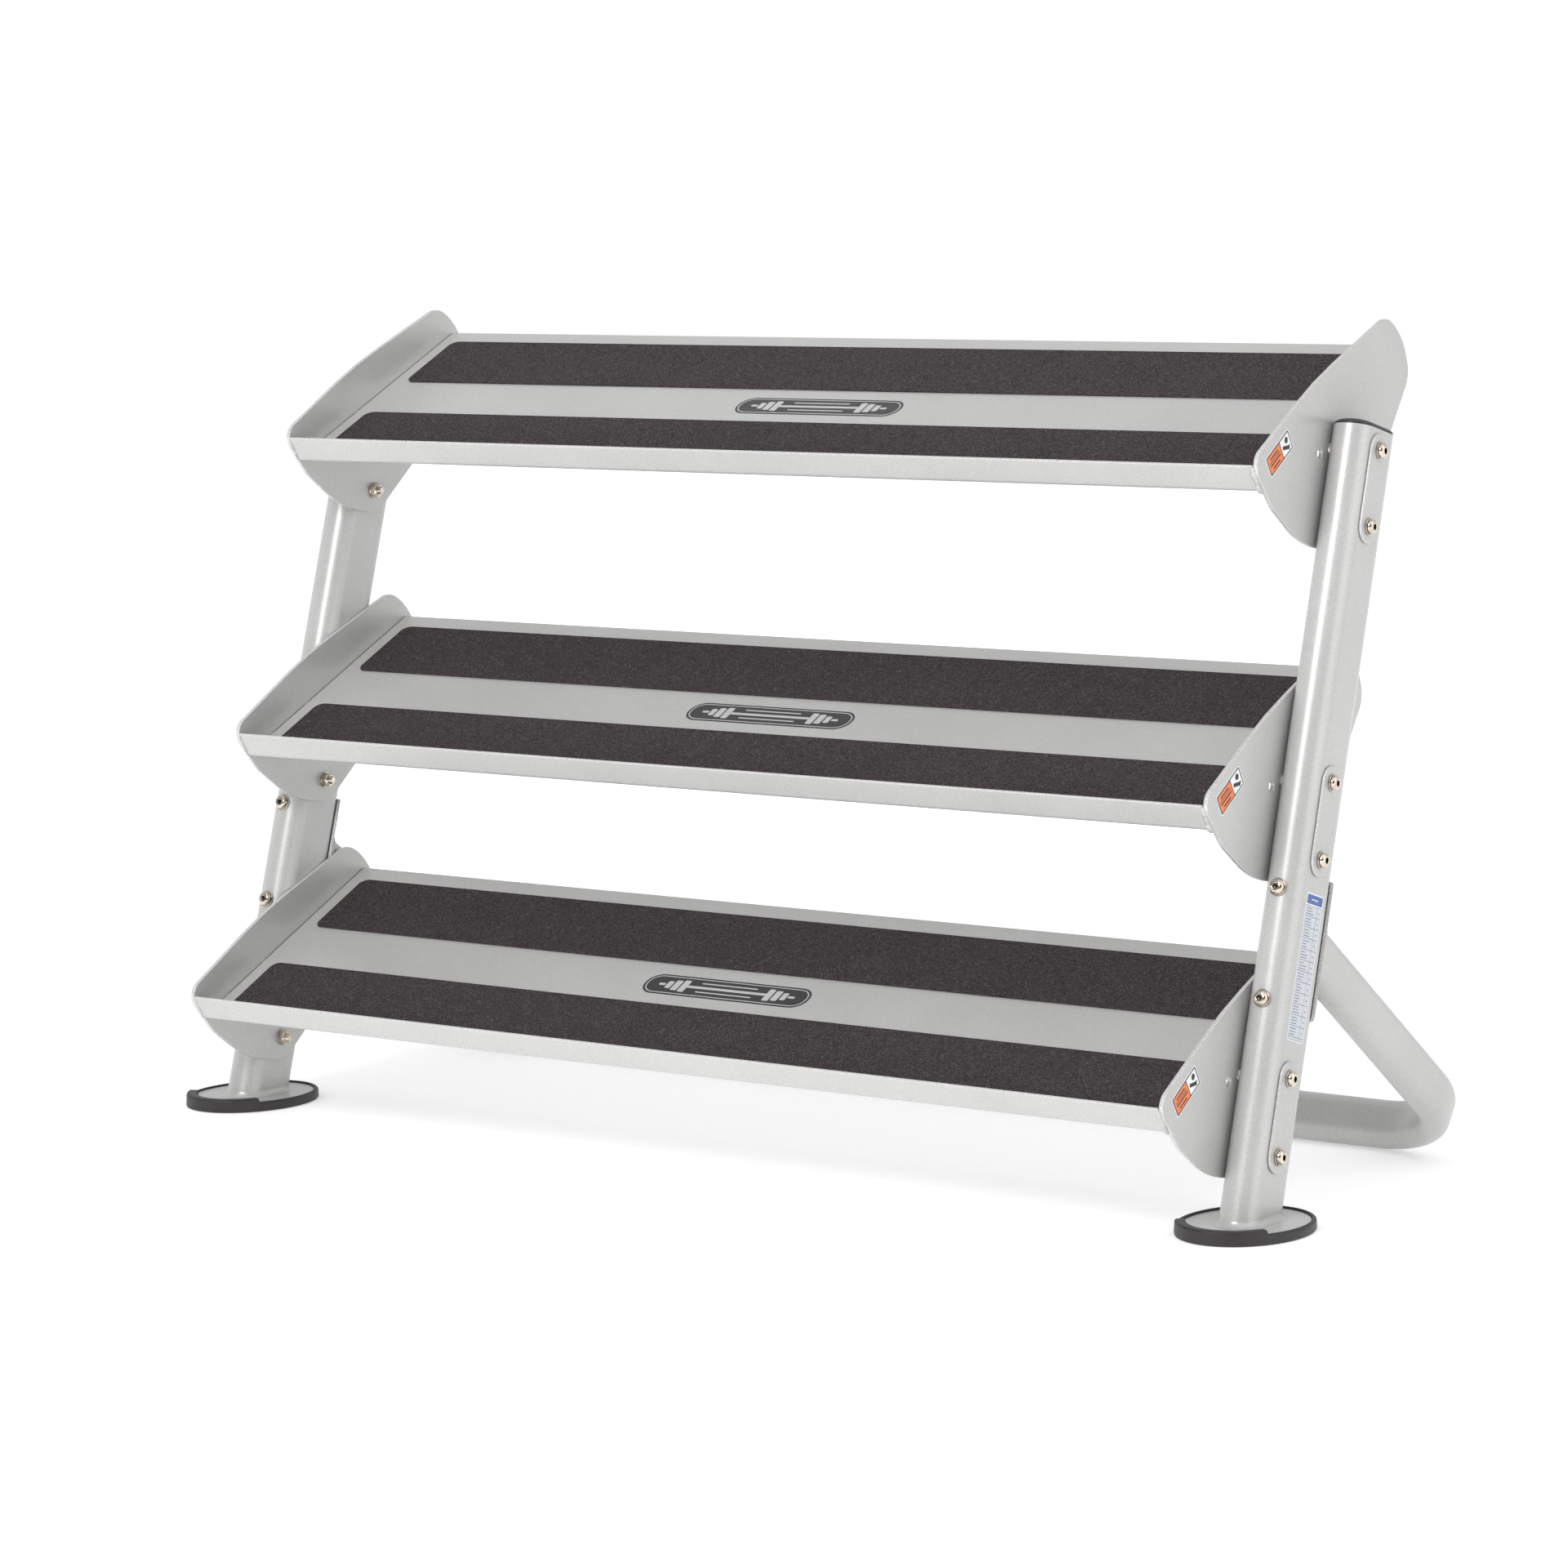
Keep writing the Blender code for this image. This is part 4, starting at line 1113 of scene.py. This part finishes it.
def build_tray_badge(tier):
    """Generic mark on the plain band between the mats: a dark lozenge with a long dumbbell."""
    middle = (MAT_SPANS["front"][1] + MAT_SPANS["rear"][0]) / 2
    bm = new_mesh()
    film(bm, rectangle(0.1180, 0.0200, 0.0190, step=FINE), 0, 0)
    film(bm, rectangle(0.1150, 0.0172, 0.0165, step=FINE), 1, 1)
    film(bm, rectangle(0.1135, 0.0158, 0.0150, step=FINE), 0, 2)
    film(bm, rectangle(0.0570, 0.0023, 0.0020), 1, 3)
    for sign in (-1, 1):
        film(bm, rectangle(0.0400, 0.0011, 0.0010, (0, sign * 0.0088)), 1, 3)
        for along, half, reach in DISCS:
            film(bm, rectangle(half, reach, 0.0019, (sign * along, 0)), 1, 3)
    matrix = bed_frame(tier) @ Matrix.Translation((0, middle, 0))
    piece(f"tray_badge_{tier}", bm, [film_black, film_silver], (), matrix)


# ---------- studio
# (direction, half width in degrees, brightness) of the soft light round the rack
SOFTBOXES = (
    ((-0.80, -0.55, 0.22), 62, 0.25),
    ((0.05, -0.42, 0.91), 36, 0.80),
    ((0.90, -0.15, 0.42), 50, 1.30),
)
BACK_WALL = 0.76  # brightness of the studio behind the rack, fading to the front
FLAG = (0.76, -0.55, 0.34)  # direction of a black flag between the key and the light on the right
FLAG_EDGES = (24, 8)  # degrees from its middle where it starts and where it is full
# (place, aim, size, power, seen in reflections) of the lamps in front of the rack
LAMPS = {
    "key_softbox": ((0.28, -4.40, 3.30), (0.0, 0.0, 0.45), (1.50, 1.60), 114.0, True),
    "right_fill": ((1.00, -2.80, 0.60), (0.0, 0.0, 0.45), (1.20, 1.20), 10.0, False),
    "low_fill": ((-0.30, -2.60, 0.50), (0.0, 0.0, 0.45), (1.20, 1.20), 14.0, False),
}
TABLE_GLOW = 0.33  # the light table under the rack, brightest in the middle
FAR_GLOW = 0.45  # the floor well behind it
CAMERA_PLACE = (3.263784, AXIS_Y - 4.587177, 1.072196)
CAMERA_DIP = 0.1105904  # below level, and round from facing the rack's front, in radians
CAMERA_TURN = 0.6043912
CAMERA_LENS = 111.088  # millimetres, on a sensor 36 mm wide


def facing_share(tree, where, direction):
    """How nearly a part of the sky lies in a direction, as a cosine."""
    inputs = {0: where, 1: Vector(direction).normalized()}
    return add_node(tree, "ShaderNodeVectorMath", inputs, operation="DOT_PRODUCT").outputs["Value"]


def build_floor():
    floor = bpy.data.meshes.new("floor")
    bm = bmesh.new()
    bmesh.ops.create_grid(bm, x_segments=2, y_segments=2, size=40)
    bm.to_mesh(floor)
    bm.free()
    made, tree, shader = new_material("studio_floor")
    tone = remap(tree, grain(tree, object_coordinates(tree), 3, 2.0), 0.985, 1.0)
    tree.links.new(tinted(tree, (0.93, 0.93, 0.93), tone), shader.inputs["Base Color"])
    shader.inputs["Roughness"].default_value = 0.9
    shader.inputs["Specular IOR Level"].default_value = 0.1
    shader.inputs["Emission Color"].default_value = (1.0, 1.0, 1.0, 1.0)
    away = add_node(tree, "ShaderNodeVectorMath", {0: object_coordinates(tree), 1: (0.0, -0.3, 0.0)},
                    operation="DISTANCE").outputs["Value"]
    near = remap(tree, away, TABLE_GLOW, 0.25 * TABLE_GLOW, 0.8, 2.6)
    glow = maths(tree, "ADD", near, remap(tree, away, 0.0, FAR_GLOW, 1.3, 3.4))
    tree.links.new(glow, shader.inputs["Emission Strength"])
    floor.materials.append(made)
    ground = bpy.data.objects.new("floor", floor)
    ground.location.z = cad_low.z - 0.0005
    bpy.context.scene.collection.objects.link(ground)


def build_sky():
    world = bpy.data.worlds.new("studio")
    world.use_nodes = True
    tree = world.node_tree
    sky = tree.nodes["Background"]
    where = add_node(tree, "ShaderNodeTexCoord").outputs["Generated"]
    parts = add_node(tree, "ShaderNodeSeparateXYZ", {"Vector": where})
    level = remap(tree, parts.outputs["Y"], 0.0, BACK_WALL, -0.80, 0.30)
    for direction, reach, strength in SOFTBOXES:
        aimed = facing_share(tree, where, direction)
        lobe = remap(tree, aimed, 0.0, strength, cos(radians(reach)), 1.0)
        level = maths(tree, "ADD", level, lobe)
    edges = [cos(radians(degrees)) for degrees in FLAG_EDGES]
    level = times(tree, level, remap(tree, facing_share(tree, where, FLAG), 1.0, 0.04, *edges))
    horizon = remap(tree, parts.outputs["Z"], 1.0, 0.0, 0.07, 0.14)
    horizon = times(tree, horizon, remap(tree, parts.outputs["X"], 1.0, 0.0, -0.30, 0.20))
    level = maths(tree, "MAXIMUM", level, horizon)
    tree.links.new(tinted(tree, (1.0, 1.0, 1.0), level), sky.inputs["Color"])
    sky.inputs["Strength"].default_value = 1.0
    bpy.context.scene.world = world


def build_lamps():
    for name, (place, aim, size, power, reflected) in LAMPS.items():
        lamp = bpy.data.lights.new(name, "AREA")
        lamp.shape = "RECTANGLE"
        lamp.size, lamp.size_y = size
        lamp.energy = power
        made = bpy.data.objects.new(name, lamp)
        made.location = place
        made.rotation_euler = (Vector(aim) - Vector(place)).to_track_quat("-Z", "Y").to_euler()
        made.visible_camera = False
        made.visible_glossy = reflected
        bpy.context.scene.collection.objects.link(made)


def build_camera():
    data = bpy.data.cameras.new("camera")
    data.sensor_width = 36.0
    data.lens = CAMERA_LENS
    data.clip_start, data.clip_end = 0.05, 200.0
    camera = bpy.data.objects.new("camera", data)
    camera.location = CAMERA_PLACE
    camera.rotation_euler = (pi / 2 - CAMERA_DIP, 0.0, CAMERA_TURN)
    bpy.context.scene.collection.objects.link(camera)
    bpy.context.scene.camera = camera


# ---------- the rack
build_camera()
for side, sign in SIDES.items():
    build_upright(side, sign)
    build_foot(side, sign)
    build_saddle(side, sign)
    build_frame_screws(side, sign)
for tier in TIERS:
    build_tray(tier)
    build_tray_badge(tier)
    for place in MAT_SPANS:
        build_mat(tier, place)
    for side, sign in SIDES.items():
        build_end_plate(tier, side, sign)
        build_shelf_welds(tier, side, sign)
        build_strap(tier, side, sign)
        build_shelf_fasteners(tier, side, sign)
        build_caution_sticker(tier, side, sign)
build_rear_frame()
build_notice_sticker()
build_floor()
build_sky()
build_lamps()
bpy.context.scene.view_settings.view_transform = "Standard"
